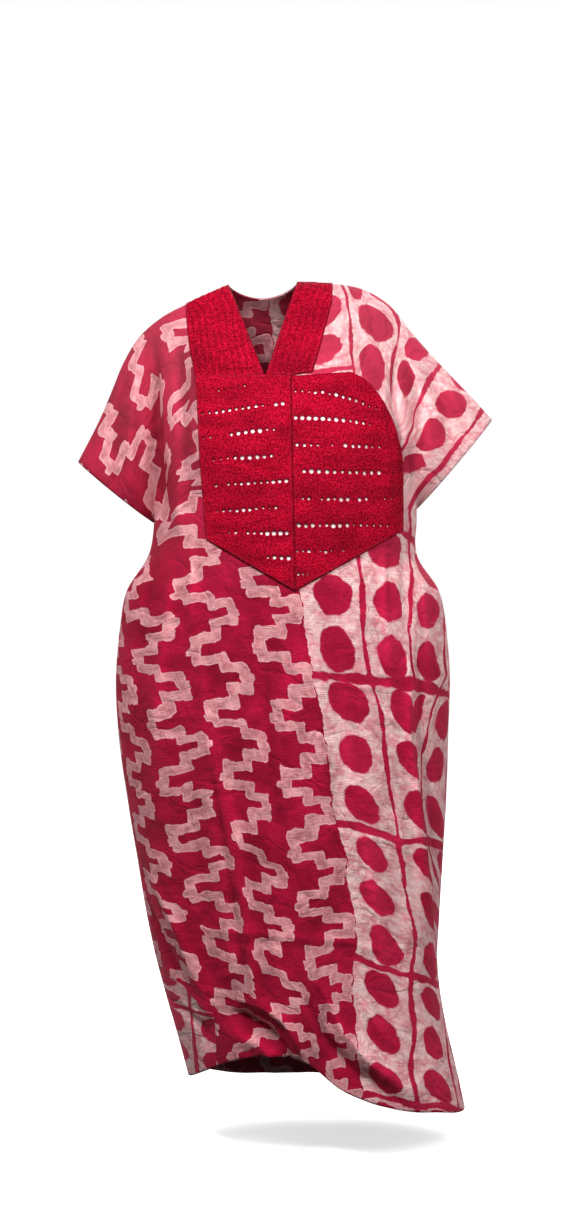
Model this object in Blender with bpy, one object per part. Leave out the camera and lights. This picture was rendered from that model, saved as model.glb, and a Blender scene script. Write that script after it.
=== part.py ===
"""Grand boubou robe, as worn: a wide resist-dyed cotton gown with short sleeves
cut in one with the body, an applied hand-woven yoke with eyelets, and pockets.

Metres, +Z up, the wearer faces -Y. The origin is the middle of the neck at
shoulder height, where the wearer's shoulders hold the gown. Right and left are
the wearer's, so the right side is at -X.
"""
import math

import bmesh
import bpy
import numpy as np
from mathutils.geometry import delaunay_2d_cdt

# ---------------------------------------------------------------- sizes
CLOTH = 0.0020            # wall of the front and back
SEAM = 0.00015            # half of the gap left between sewn pieces
LAYER_GAP = 0.0003        # gap between a panel and what lies on it
BACKING = 0.0010          # white cloth under the yoke
BAND = 0.0024             # hand-woven bands round the neck
YOKE = 0.0020             # hand-woven yoke
POCKET_CLOTH = 0.0012

NECK_RIGHT = (-0.060, 0.006)      # x, z of the neck points on the shoulder line
NECK_LEFT = (0.053, 0.010)
NECK_TIP = (0.001, -0.148)        # foot of the V
BACK_NECK_DROP = 0.022
UNDERARM_Z = (-0.389, -0.366)     # right, left
SLEEVE_DEPTH = 0.062              # half of a sleeve's thickness, front to back
SHOULDER_ROUND = 0.110            # height over which the shoulder rounds away
MOUTH_HALF_GAP = 0.016            # pocket mouth, pushed open
MOUTH_ROWS = (0.055, 0.210)       # pocket mouth, as shares of the side seam
EYELET_RADIUS = 0.0027
EYELET_PITCH = 0.0117
YOKE_SEAM_X = (0.0423, 0.0490)    # middle seam of the yoke, top and foot

FRONT_COLUMNS, BACK_COLUMNS = 30, 24
SLEEVE_ROWS, SKIRT_ROWS = 11, 15

# Shoulder line seen from the front, cuff to neck on each side: x, z
SHOULDER_RIGHT = np.array([
    (-0.312, -0.287), (-0.273, -0.211), (-0.256, -0.171), (-0.235, -0.121),
    (-0.212, -0.083), (-0.173, -0.048), (-0.128, -0.024), NECK_RIGHT])
SHOULDER_LEFT = np.array([
    NECK_LEFT, (0.108, 0.0085), (0.160, 0.000), (0.204, -0.025),
    (0.243, -0.072), (0.290, -0.124), (0.346, -0.182), (0.378, -0.217)])

# Armholes and side seams seen from the front: z, x of the right, x of the left
SIDES = np.array([
    (-1.440, -0.103, 0.352), (-1.380, -0.116, 0.338), (-1.316, -0.131, 0.324),
    (-1.240, -0.151, 0.306), (-1.180, -0.168, 0.295), (-1.120, -0.184, 0.290),
    (-1.050, -0.199, 0.293), (-0.960, -0.214, 0.298), (-0.850, -0.232, 0.304),
    (-0.740, -0.2465, 0.307), (-0.640, -0.250, 0.309), (-0.560, -0.242, 0.302),
    (-0.500, -0.230, 0.289), (-0.445, -0.196, 0.254), (-0.380, -0.185, 0.253),
    (-0.250, -0.190, 0.246), (-0.120, -0.190, 0.232), (0.050, -0.185, 0.205)])

# Depth of the body from the middle plane: z, front, back
DEPTHS = np.array([
    (-1.440, 0.196, 0.177), (-1.300, 0.192, 0.172), (-1.150, 0.186, 0.166),
    (-0.950, 0.178, 0.160), (-0.750, 0.175, 0.155), (-0.600, 0.172, 0.144),
    (-0.450, 0.168, 0.133), (-0.350, 0.171, 0.131), (-0.260, 0.170, 0.128),
    (-0.180, 0.151, 0.121), (-0.100, 0.124, 0.105), (-0.050, 0.101, 0.090),
    (0.020, 0.080, 0.070)])

# Hem from the right side seam to the left: share of the width, front z, back z
HEM = np.array([
    (0.00, -1.316, -1.316), (0.06, -1.296, -1.332), (0.14, -1.274, -1.346),
    (0.26, -1.254, -1.355), (0.38, -1.248, -1.357), (0.48, -1.262, -1.358),
    (0.56, -1.298, -1.360), (0.66, -1.324, -1.362), (0.80, -1.345, -1.366),
    (0.92, -1.358, -1.371), (1.00, -1.374, -1.374)])

# Largest folds: panel, x and z of the top, x and z of the foot,
# height out (a trough is negative), half width
FOLDS = (
    ("front", -0.151, -0.100, -0.150, -0.400, 0.010, 0.030),
    ("front", -0.182, -0.130, -0.176, -0.380, -0.011, 0.026),
    ("front", 0.207, -0.090, 0.232, -0.380, 0.009, 0.028),
    ("front", 0.243, -0.130, 0.250, -0.350, -0.010, 0.028),
    ("front", -0.196, -0.900, -0.085, -1.200, 0.010, 0.034),
    ("front", -0.088, -0.690, -0.018, -1.200, 0.009, 0.034),
    ("front", -0.128, -0.740, -0.062, -1.200, -0.008, 0.030),
    ("front", 0.226, -0.500, 0.276, -1.130, 0.010, 0.030),
    ("front", 0.176, -0.540, 0.222, -1.200, -0.007, 0.034),
    ("front", 0.100, -1.190, 0.262, -1.330, 0.012, 0.036),
    ("front", 0.020, -1.020, 0.070, -1.250, 0.012, 0.050),
    ("front", -0.060, -1.120, 0.010, -1.245, -0.012, 0.040),
    ("back", -0.140, -0.110, -0.150, -0.420, 0.010, 0.032),
    ("back", 0.195, -0.100, 0.215, -0.400, 0.010, 0.032),
    ("back", -0.120, -0.420, -0.090, -1.280, 0.013, 0.045),
    ("back", -0.020, -0.330, 0.000, -1.300, -0.010, 0.042),
    ("back", 0.080, -0.300, 0.100, -1.310, 0.012, 0.048),
    ("back", 0.180, -0.450, 0.215, -1.320, -0.009, 0.040),
    ("back", 0.235, -0.520, 0.268, -1.250, 0.010, 0.034))

# Eyelets, row by row: half of the yoke, z at the middle, z at the outer end, count
EYELET_ROWS = (
    ("right", -0.1940, -0.2093, 12), ("right", -0.2331, -0.2478, 12),
    ("right", -0.2756, -0.2840, 11), ("right", -0.3170, -0.3239, 12),
    ("right", -0.3589, -0.3667, 12), ("right", -0.4003, -0.4014, 10),
    ("right", -0.4406, -0.4388, 4),
    ("left", -0.1736, -0.1899, 11), ("left", -0.2160, -0.2262, 14),
    ("left", -0.2594, -0.2653, 15), ("left", -0.3010, -0.3037, 13),
    ("left", -0.3452, -0.3452, 15), ("left", -0.3877, -0.3877, 14),
    ("left", -0.4295, -0.4286, 9), ("left", -0.4670, -0.4670, 3))

# Outline of the yoke without its middle seam, from the seam's top down the right
# side to the foot, and down the left side to the foot: x, z
YOKE_RIGHT_SIDE = ((-0.1117, -0.1537), (-0.1072, -0.2150), (-0.1043, -0.2824),
                   (-0.0990, -0.3480), (-0.0937, -0.4120))
YOKE_LEFT_SIDE = ((0.1387, -0.1412), (0.1565, -0.1490), (0.1710, -0.1604),
                  (0.1840, -0.1756), (0.1958, -0.1938), (0.2070, -0.2170),
                  (0.2163, -0.2424), (0.2225, -0.2640), (0.2255, -0.2836),
                  (0.2255, -0.3974))
YOKE_TOP_Z, YOKE_FOOT_Z = -0.1483, -0.4940


# ---------------------------------------------------------------- form of the cloth
def curve(keys, values, at):
    """A smooth line through a table's rows, read at any key."""
    at = np.clip(at, keys[0], keys[-1])
    slope = np.gradient(values, keys)
    i = np.clip(np.searchsorted(keys, at) - 1, 0, len(keys) - 2)
    step = keys[i + 1] - keys[i]
    t = (at - keys[i]) / step
    return ((2 * t**3 - 3 * t**2 + 1) * values[i] + (t**3 - 2 * t**2 + t) * step * slope[i]
            + (3 * t**2 - 2 * t**3) * values[i + 1] + (t**3 - t**2) * step * slope[i + 1])


def along(line, share):
    """The point at a share of the length of a line of x, z points."""
    run = np.concatenate(([0.0], np.hypot(*np.diff(line, axis=0).T).cumsum()))
    return np.stack([curve(run, line[:, k], share * run[-1]) for k in (0, 1)], axis=-1)


def top_edge(side, c):
    """Top edge of a panel at column share c: shoulder, neck, shoulder."""
    third = 1.0 / 3.0
    if c <= third:
        return along(SHOULDER_RIGHT, c / third)
    if c >= 2 * third:
        return along(SHOULDER_LEFT, (c - 2 * third) / third)
    s = (c - third) / third
    a, b, tip = np.array(NECK_RIGHT), np.array(NECK_LEFT), np.array(NECK_TIP)
    if side == "back":
        return a + (b - a) * s - np.array([0.0, BACK_NECK_DROP * math.sin(math.pi * s) ** 0.7])
    return a + (tip - a) * 2 * s if s < 0.5 else tip + (b - tip) * (2 * s - 1)


def side_x(z):
    """x of the right and the left armhole or side seam at a height."""
    return curve(SIDES[:, 0], SIDES[:, 1], z), curve(SIDES[:, 0], SIDES[:, 2], z)


def column_share(c):
    """Share of the body's width at column c: columns close up near the sides."""
    return 0.6 * (0.5 - 0.5 * math.cos(math.pi * c)) + 0.4 * c


def fold_lift(side, x, z):
    """How far the folds move the cloth in or out at x, z."""
    lift = 0.0
    for panel, x0, z0, x1, z1, height, half_width in FOLDS:
        if panel != side:
            continue
        run = np.array([x1 - x0, z1 - z0])
        away = np.array([x - x0, z - z0])
        share = float(away @ run / (run @ run))
        across = abs(away[0] * run[1] - away[1] * run[0]) / math.hypot(*run) / half_width
        if 0.0 < share < 1.0 and across < 1.0:
            lift += height * math.sin(math.pi * share) ** 0.7 * (0.5 + 0.5 * math.cos(math.pi * across))
    return lift


def shoulder_z(x):
    line = np.concatenate((SHOULDER_RIGHT, SHOULDER_LEFT))
    return float(np.interp(x, line[:, 0], line[:, 1]))


def smooth_step(low, high, x):
    t = min(max((x - low) / (high - low), 0.0), 1.0)
    return t * t * (3 - 2 * t)


def depth(side, x, z, sleeve_share, mouth):
    """Distance of a panel from the middle plane at x, z."""
    right, left = side_x(z)
    across = min(abs((x - (left + right) / 2) / ((left - right) / 2)), 1.0)
    body = curve(DEPTHS[:, 0], DEPTHS[:, 1 if side == "front" else 2], z)
    soft = min(4.0 * (1.0 - min(sleeve_share, 1.0)), 1.0)     # the armhole has no hard edge
    body *= (1.0 - across ** (2.3 + 0.7 * soft)) ** (0.5 + 0.35 * soft)
    below = min(max((shoulder_z(x) - z) / SHOULDER_ROUND, 0.0), 1.0)
    body *= math.sqrt(1.0 - (1.0 - below) ** 2)
    outside = smooth_step(-0.115, -0.205, x) + smooth_step(0.150, 0.240, x)
    sleeve = SLEEVE_DEPTH * outside * math.sin(math.pi * min(sleeve_share, 1.0)) ** 0.6
    whole = math.sqrt(body ** 2 + sleeve ** 2 + mouth ** 2)
    return SEAM + whole + fold_lift(side, x, z) * min(whole / 0.06, 1.0)


def panel_points(side, columns):
    """Outer face of the front or back: rows from the shoulder to the hem."""
    sign = -1.0 if side == "front" else 1.0
    hem = HEM[:, 1 if side == "front" else 2]
    first, last = MOUTH_ROWS
    skirt = [0.0] + list(np.linspace(first, last, 7)) + list(np.linspace(last, 1.0, SKIRT_ROWS + 1)[1:])
    rows = []
    for r in range(SLEEVE_ROWS):
        share = (r / SLEEVE_ROWS) ** 1.3
        row = []
        for c in np.linspace(0.0, 1.0, columns + 1):
            top, low = top_edge(side, c), underarm(c)
            x, z = top + (low - top) * share
            row.append((x, sign * depth(side, x, z, share, 0.0), z))
        rows.append(row)
    for share in skirt:
        middle, half = (first + last) / 2, (last - first) / 2
        mouth = MOUTH_HALF_GAP * math.sqrt(max(1.0 - ((share - middle) / half) ** 2, 0.0))
        row = []
        for c in np.linspace(0.0, 1.0, columns + 1):
            z0 = underarm(c)[1]
            z = z0 + (curve(HEM[:, 0], hem, column_share(c)) - z0) * share
            right, left = side_x(z)
            x = right + (left - right) * column_share(c)
            row.append((x, sign * depth(side, x, z, 1.0, mouth), z))
        rows.append(row)
    return np.array(rows)


def underarm(c):
    """Point of the row that joins the two underarms, at column share c."""
    z = UNDERARM_Z[0] + (UNDERARM_Z[1] - UNDERARM_Z[0]) * column_share(c)
    right, left = side_x(z)
    return np.array([right + (left - right) * column_share(c), z])


def grid_triangles(rows, columns):
    """Every cell of a grid as two triangles, as indices into its points.
    The diagonals of one half mirror those of the other."""
    cells = []
    for r in range(rows - 1):
        for c in range(columns - 1):
            a, b = r * columns + c, (r + 1) * columns + c
            if c < columns // 2:
                cells += [(a, b, a + 1), (a + 1, b, b + 1)]
            else:
                cells += [(a, b, b + 1), (a, b + 1, a + 1)]
    return cells


def panel_normals(side, points):
    """Outward directions; on a seam they stay in the middle plane."""
    rows, columns = points.shape[:2]
    flat = points.reshape(-1, 3)
    normals = np.zeros_like(flat)
    for a, b, c in grid_triangles(rows, columns):
        n = np.cross(flat[b] - flat[a], flat[c] - flat[a])
        for k in (a, b, c):
            normals[k] += n
    normals = normals.reshape(points.shape) * (1.0 if side == "front" else -1.0)
    neck = columns // 3
    for r in range(rows):
        for c in range(columns):
            shoulder = r == 0 and not neck < c < columns - 1 - neck
            seam = c in (0, columns - 1) and r >= SLEEVE_ROWS
            if shoulder or seam:
                normals[r, c, 1] = 0.0
    return normals / np.linalg.norm(normals, axis=2, keepdims=True)


# ---------------------------------------------------------------- solids
def cotton(name, colour, roughness):
    material = bpy.data.materials.new(name)
    material.use_nodes = True
    shader = material.node_tree.nodes["Principled BSDF"]
    shader.inputs["Base Color"].default_value = (*colour, 1.0)
    shader.inputs["Roughness"].default_value = roughness
    shader.inputs["Metallic"].default_value = 0.0
    return material


def add_solid(name, vertices, faces, material):
    """One closed piece from its points, facing out."""
    bm = bmesh.new()
    made = [bm.verts.new(v) for v in vertices]
    for face in faces:
        bm.faces.new([made[k] for k in face])
    bmesh.ops.recalc_face_normals(bm, faces=bm.faces)
    mesh = bpy.data.meshes.new(name)
    bm.to_mesh(mesh)
    bm.free()
    mesh.materials.append(material)
    mesh.shade_smooth()
    mesh.set_sharp_from_angle(angle=math.radians(50))
    piece = bpy.data.objects.new(name, mesh)
    GARMENT.objects.link(piece)
    return piece


def add_wall(name, outer, inner, triangles, material):
    """A cloth wall: two faces of the same triangles, closed round every edge."""
    count = len(outer)
    directed = {(t[i], t[(i + 1) % 3]) for t in triangles for i in range(3)}
    rim = [(a, b) for a, b in directed if (b, a) not in directed]
    faces = [tuple(t) for t in triangles]
    faces += [(t[2] + count, t[1] + count, t[0] + count) for t in triangles]
    for a, b in sorted(rim):
        faces += [(b, a, a + count), (b, a + count, b + count)]
    return add_solid(name, np.concatenate((outer, inner)), faces, material)


def add_panel(side, columns, material):
    points = panel_points(side, columns)
    normals = panel_normals(side, points)
    outer = points.reshape(-1, 3)
    inner = (points - CLOTH * normals).reshape(-1, 3)
    add_wall(side, outer, inner, grid_triangles(*points.shape[:2]), material)
    return points, normals


def inside(outline, x, z):
    """Whether x, z lies inside a closed outline."""
    found = False
    for (x0, z0), (x1, z1) in zip(outline, outline[1:] + outline[:1]):
        if (z0 > z) != (z1 > z) and x < (x1 - x0) * (z - z0) / (z1 - z0) + x0:
            found = not found
    return found


def add_layer(name, panel, outline, holes, gap, thickness, material):
    """A piece that lies on a panel: cut to its outline over the panel's own
    triangles, so that it follows them exactly, then moved out along the normals."""
    points, normals = (a.reshape(-1, 3) for a in panel)
    xs, zs = [p[0] for p in outline], [p[1] for p in outline]
    near = []
    for t in grid_triangles(*panel[0].shape[:2]):
        tx, tz = points[list(t), 0], points[list(t), 2]
        if tx.max() > min(xs) and tx.min() < max(xs) and tz.max() > min(zs) and tz.min() < max(zs):
            near.append(t)
    used = sorted({k for t in near for k in t})
    flat = [(points[k, 0], points[k, 2]) for k in used]
    place = {k: i for i, k in enumerate(used)}
    edges = {tuple(sorted((place[t[i]], place[t[(i + 1) % 3]]))) for t in near for i in range(3)}
    edges = sorted(edges)
    for loop in [outline] + holes:
        first = len(flat)
        flat += loop
        edges += [(first + i, first + (i + 1) % len(loop)) for i in range(len(loop))]
    cut = delaunay_2d_cdt([(x * 1000, z * 1000) for x, z in flat], edges, [], 0, 1e-5, False)
    corners = np.array([tuple(v) for v in cut[0]]) / 1000
    a, b, c = (points[[t[k] for t in near]][:, [0, 2]] for k in range(3))
    area = (b[:, 0] - a[:, 0]) * (c[:, 1] - a[:, 1]) - (b[:, 1] - a[:, 1]) * (c[:, 0] - a[:, 0])

    def weights(x, z):
        wb = ((x - a[:, 0]) * (c[:, 1] - a[:, 1]) - (z - a[:, 1]) * (c[:, 0] - a[:, 0])) / area
        wc = ((b[:, 0] - a[:, 0]) * (z - a[:, 1]) - (b[:, 1] - a[:, 1]) * (x - a[:, 0])) / area
        return np.stack((1 - wb - wc, wb, wc), axis=1)

    kept = []
    for face in cut[2]:
        x, z = corners[list(face)].mean(axis=0)
        if (weights(x, z).min(axis=1).max() > 0.0 and inside(outline, x, z)
                and not any(inside(hole, x, z) for hole in holes
                            if abs(hole[0][0] - x) < 0.01 and abs(hole[0][1] - z) < 0.01)):
            kept.append(tuple(face))
    order = sorted({k for face in kept for k in face})
    place = {k: i for i, k in enumerate(order)}
    low, high = [], []
    for k in order:
        share = weights(*corners[k])
        best = share.min(axis=1).argmax()
        three = list(near[best])
        point, normal = share[best] @ points[three], share[best] @ normals[three]
        low.append(point + gap * normal)
        high.append(point + (gap + thickness) * normal)
    triangles = [tuple(place[k] for k in face) for face in kept]
    return add_wall(name, np.array(high), np.array(low), triangles, material)


def eyelets(half):
    """Six-sided eyelets of one half of the yoke, in rows that start at the middle."""
    holes = []
    for side, z_middle, z_outer, count in EYELET_ROWS:
        if side != half:
            continue
        way = -1.0 if half == "right" else 1.0
        for k in range(count):
            x = yoke_seam_x(z_middle) + way * (0.0105 + EYELET_PITCH * k)
            z = z_middle + (z_outer - z_middle) * k / max(count - 1, 1)
            holes.append([(x + EYELET_RADIUS * math.cos(math.pi * (i / 3 + 1 / 6)),
                           z + EYELET_RADIUS * math.sin(math.pi * (i / 3 + 1 / 6)))
                          for i in range(6)])
    return holes


def yoke_seam_x(z):
    share = (z - YOKE_TOP_Z) / (YOKE_FOOT_Z - YOKE_TOP_Z)
    return YOKE_SEAM_X[0] + (YOKE_SEAM_X[1] - YOKE_SEAM_X[0]) * share


def add_pocket(name, side, front, back, material):
    """A flat bag whose mouth follows the opening in the side seam."""
    edge = 0 if side == "right" else -1
    way = 1.0 if side == "right" else -1.0
    rows = range(SLEEVE_ROWS + 1, SLEEVE_ROWS + 8)
    loop = [front[r, edge] for r in rows] + [back[r, edge] for r in reversed(rows)][1:-1]
    loop = [p * (1, 0, 1) if k in (0, 6) else p for k, p in enumerate(loop)]
    middle = np.mean([p[2] for p in loop])
    # how far in from the seam, how far down, share of the mouth's height, half depth
    stations = ((0.0, 0.0, 1.00, None), (0.024, -0.012, 1.08, 0.014), (0.060, -0.045, 1.15, 0.013),
                (0.095, -0.070, 1.10, 0.010), (0.115, -0.080, 0.85, 0.005))

    def ring(inward, down, height, half_depth, inset):
        made = []
        for k, p in enumerate(loop):
            share = (p[2] - middle) / 0.078
            y = 0.86 * p[1] if half_depth is None else math.copysign(
                half_depth * math.sqrt(max(1 - share ** 2, 0.0)), p[1]) * (k not in (0, 6))
            y -= math.copysign(min(inset, abs(y) * 0.6), y) if y else 0.0
            z = middle + down + (p[2] - middle) * (height - inset / 0.08)
            made.append((p[0] + way * (CLOTH + 0.0004 + inward), y, z))
        return made

    rings = [ring(*row, 0.0) for row in stations]
    rings += [ring(row[0] - (POCKET_CLOTH if k == 0 else 0.0), *row[1:], POCKET_CLOTH)
              for k, row in enumerate(reversed(stations))]
    size = len(loop)
    vertices = [v for r in rings for v in r]
    faces = []
    for r in range(len(rings)):
        if r == len(stations) - 1:
            continue
        s = (r + 1) % len(rings)
        for k in range(size):
            a, b = r * size + k, r * size + (k + 1) % size
            c, d = s * size + (k + 1) % size, s * size + k
            faces += [(a, b, c), (a, c, d)]
    for r in (len(stations) - 1, len(stations)):
        cap = [r * size + k for k in range(size)]
        faces += [(cap[0], cap[1], cap[-1]), (cap[5], cap[6], cap[7])]
        for k in range(1, 5):
            faces += [(cap[k], cap[k + 1], cap[-k]), (cap[k + 1], cap[-k - 1], cap[-k])]
    return add_solid(name, vertices, faces, material)


# ---------------------------------------------------------------- the garment
for old in list(bpy.data.objects):
    bpy.data.objects.remove(old, do_unlink=True)
GARMENT = bpy.data.collections.new("grand_boubou_robe")
bpy.context.scene.collection.children.link(GARMENT)

ADIRE_FRONT = cotton("adire_cotton_front", (0.45, 0.05, 0.11), 0.80)
ADIRE_BACK = cotton("adire_cotton_back", (0.43, 0.05, 0.11), 0.80)
front = add_panel("front", FRONT_COLUMNS, ADIRE_FRONT)
back = add_panel("back", BACK_COLUMNS, ADIRE_BACK)

# The yoke: right and left halves parted by the middle seam, over a white backing
foot_x, top_x = YOKE_SEAM_X[1], YOKE_SEAM_X[0]
right_half = [(top_x - SEAM, YOKE_TOP_Z)] + list(YOKE_RIGHT_SIDE) + [(foot_x - SEAM, YOKE_FOOT_Z)]
left_half = [(top_x + SEAM, YOKE_TOP_Z)] + list(YOKE_LEFT_SIDE) + [(foot_x + SEAM, YOKE_FOOT_Z)]
middle = np.array([0.055, -0.300])
whole = list(YOKE_RIGHT_SIDE) + [(foot_x, YOKE_FOOT_Z)] + list(reversed(YOKE_LEFT_SIDE))
backing_outline = [tuple(middle + (np.array(p) - middle) * 0.965) for p in whole]
add_layer("yoke_backing", front, backing_outline, [], LAYER_GAP, BACKING,
          cotton("white_backing", (0.86, 0.84, 0.82), 0.85))
yoke_gap = LAYER_GAP * 2 + BACKING
add_layer("yoke_right", front, right_half, eyelets("right"), yoke_gap, YOKE,
          cotton("aso_oke_yoke_right", (0.55, 0.012, 0.035), 0.90))
add_layer("yoke_left", front, left_half, eyelets("left"), yoke_gap, YOKE,
          cotton("aso_oke_yoke_left", (0.55, 0.012, 0.035), 0.90))

# The neck bands run from the yoke's top edge over the shoulders to the back
tip_x, tip_z = NECK_TIP
band_right = [(tip_x - 2 * SEAM, tip_z + 0.0005), (-0.1118, -0.1531), (-0.1225, -0.1016),
              (-0.1285, -0.0560), (-0.1310, 0.0200), (-0.0600, 0.0200),
              (-0.0300, -0.0600), (tip_x - 2 * SEAM, -0.1200)]
band_left = [(tip_x + 2 * SEAM, tip_z + 0.0005), (tip_x + 2 * SEAM, -0.1200),
             (0.0250, -0.0600), (0.0530, 0.0300), (0.1120, 0.0300), (0.1120, -0.0100),
             (0.1100, -0.0250), (0.1006, -0.0610), (0.0924, -0.0918), (0.0780, -0.1414),
             (0.0423, -0.1478)]
band_back = [(-0.1310, 0.0300)]
band_back += [(-0.0095 - 0.1215 * math.cos(math.pi * k / 16), -0.012 - 0.084 * math.sin(math.pi * k / 16))
              for k in range(17)]
band_back += [(0.1120, 0.0300)]
add_layer("neck_band_right", front, band_right, [], LAYER_GAP, BAND,
          cotton("aso_oke_band_right", (0.52, 0.012, 0.033), 0.90))
add_layer("neck_band_left", front, band_left, [], LAYER_GAP, BAND,
          cotton("aso_oke_band_left", (0.52, 0.012, 0.033), 0.90))
add_layer("neck_band_back", back, band_back, [], LAYER_GAP, BAND,
          cotton("aso_oke_band_back", (0.52, 0.012, 0.033), 0.90))

for way in ("right", "left"):
    add_pocket("pocket_" + way, way, front[0], back[0],
               cotton("pocket_cotton_" + way, (0.40, 0.05, 0.10), 0.85))
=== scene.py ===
# %% [markdown]
# # A grand boubou robe, dressed for the camera
#
# The robe is a wide cotton gown that is worn over the head: a front and a back,
# sewn at the shoulders and down the sides, with short sleeves that are cut in one
# with the body. Crimson hand-woven cloth is laid over the neck and the chest.
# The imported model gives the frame: every piece below stands where its solid
# stands, so it is drawn in the same metres, and nothing has to be fitted.

# %% Load the frame
import math
from functools import partial

import bmesh
import bpy
import numpy as np
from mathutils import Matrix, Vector
from mathutils.geometry import delaunay_2d_cdt


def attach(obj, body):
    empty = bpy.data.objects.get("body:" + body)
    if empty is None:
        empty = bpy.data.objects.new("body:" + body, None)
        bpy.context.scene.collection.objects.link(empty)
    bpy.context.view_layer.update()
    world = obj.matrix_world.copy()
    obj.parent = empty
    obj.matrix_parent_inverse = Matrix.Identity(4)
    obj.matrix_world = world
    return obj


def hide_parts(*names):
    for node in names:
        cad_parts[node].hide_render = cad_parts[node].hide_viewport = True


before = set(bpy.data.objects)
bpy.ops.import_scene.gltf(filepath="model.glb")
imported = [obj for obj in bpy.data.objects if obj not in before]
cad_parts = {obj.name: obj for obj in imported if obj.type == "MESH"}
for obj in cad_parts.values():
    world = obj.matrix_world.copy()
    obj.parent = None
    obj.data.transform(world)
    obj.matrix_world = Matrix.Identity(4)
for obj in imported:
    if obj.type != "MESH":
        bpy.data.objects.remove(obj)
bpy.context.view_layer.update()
print("nodes:", sorted(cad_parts))

# %% [markdown]
# ## Camera
#
# The robe is seen from the front, a little above the waist, from 4.5 m away, with
# a long lens that keeps it nearly free of perspective. A camera could also look
# straight ahead and shift its picture down, but a small tilt is what a person with
# a camera does, and it needs no shift.

# %% Camera
camera = bpy.data.objects.new("camera", bpy.data.cameras.new("camera"))
bpy.context.scene.collection.objects.link(camera)
bpy.context.scene.camera = camera
CAMERA_HEIGHT = -0.26386
FOCAL_PIXELS = 2695.0            # focal length in picture pixels, 1215 of them high
HORIZON_ROW, MIDDLE_ROW = 448.0, 607.5
camera.location = (0.033, -4.5, CAMERA_HEIGHT)
tilt_down = math.atan((MIDDLE_ROW - HORIZON_ROW) / FOCAL_PIXELS)
camera.rotation_euler = (math.pi / 2 - tilt_down, 0.0, 0.0)
camera.data.sensor_width = 36.0
camera.data.lens = 36.0 * FOCAL_PIXELS / 1215.0
print(f"lens {camera.data.lens:.1f} mm, tilted {math.degrees(tilt_down):.2f} degrees down")

# %% [markdown]
# ## The form of the cloth
#
# The front and the back are two cut sheets that hang from the shoulders. Each is
# described by tables: the shoulder line, the side seams, the depth of the body and
# the hem. A smooth curve runs through each table. The solids are made from the
# same tables with few faces, so a fine sheet made from them lies on its solid.
# A cloth simulation could drape the sheets too, but it would not stay inside the
# frame, and the folds would not fall where they should.

# %% Tables of the form
def metres(millimetres):
    """A table of millimetres, good to a hundredth, in metres."""
    return np.round(np.array(millimetres, float) * 100) / 1e5


CLOTH = 0.0009            # cotton, 0.3 mm, doubled and drawn a little thick
SEAM = 0.00015
NECK_RIGHT = (-0.060, 0.006)
NECK_LEFT = (0.053, 0.010)
NECK_TIP = (0.001, -0.148)
BACK_NECK_DROP = 0.022
UNDERARM_Z = (-0.389, -0.366)
SLEEVE_DEPTH = 0.062
SLEEVES_FROM = ((-0.115, -0.205), (0.150, 0.240))     # x where a sleeve starts and is whole
SHOULDER_ROUND = 0.110
MOUTH_HALF_GAP = 0.016
MOUTH_ROWS = (0.055, 0.210)
YOKE_SEAM_X = (0.0423, 0.0490)
YOKE_TOP_Z, YOKE_FOOT_Z = -0.1483, -0.4940

SHOULDER_RIGHT = metres(((-312, -287), (-273, -211), (-256, -171), (-235, -121), (-212, -83),
    (-173, -48), (-128, -24), (-60, 6)))
SHOULDER_LEFT = metres(((53, 10), (108, 8.5), (160, 0), (204, -25), (243, -72), (290, -124),
    (346, -182), (378, -217)))
# height, x of the right side, x of the left side
SIDES = metres(((-1440, -103, 352), (-1380, -116, 338), (-1316, -131, 324), (-1240, -151, 306),
    (-1180, -168, 295), (-1120, -184, 290), (-1050, -199, 293), (-960, -214, 298),
    (-850, -232, 304), (-740, -246.5, 307), (-640, -250, 309), (-560, -242, 302),
    (-500, -230, 289), (-445, -196, 254), (-380, -185, 253), (-250, -190, 246),
    (-120, -190, 232), (50, -185, 205)))
# height, depth of the front, depth of the back
DEPTHS = metres(((-1440, 196, 177), (-1300, 192, 172), (-1150, 186, 166), (-950, 178, 160),
    (-750, 175, 155), (-600, 172, 144), (-450, 168, 133), (-350, 171, 131), (-260, 170, 128),
    (-180, 151, 121), (-100, 124, 105), (-50, 101, 90), (20, 80, 70)))
# share of the width in thousandths, hem height of the front, hem height of the back
HEM = metres(((0, -1316, -1316), (60, -1296, -1332), (140, -1274, -1346), (260, -1254, -1355),
    (380, -1248, -1357), (480, -1262, -1358), (560, -1298, -1360), (660, -1324, -1362),
    (800, -1345, -1366), (920, -1358, -1371), (1000, -1374, -1374)))
SIDE_COLUMN = {"front": 1, "back": 2}    # where a side stands in a row of such a table

# %% Curves through the tables
def curve(keys, values, at):
    """A smooth line through a table's rows, read at any key."""
    at = np.clip(at, keys[0], keys[-1])
    slope = np.gradient(values, keys)
    i = np.clip(np.searchsorted(keys, at) - 1, 0, len(keys) - 2)
    step = keys[i + 1] - keys[i]
    t = (at - keys[i]) / step
    return ((2 * t**3 - 3 * t**2 + 1) * values[i] + (t**3 - 2 * t**2 + t) * step * slope[i]
        + (3 * t**2 - 2 * t**3) * values[i + 1] + (t**3 - t**2) * step * slope[i + 1])


def along(line, share):
    """The point at a share of the length of a line of x, z points."""
    run = np.concatenate(([0.0], np.hypot(*np.diff(line, axis=0).T).cumsum()))
    return np.stack([curve(run, line[:, k], share * run[-1]) for k in (0, 1)], axis=-1)


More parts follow.
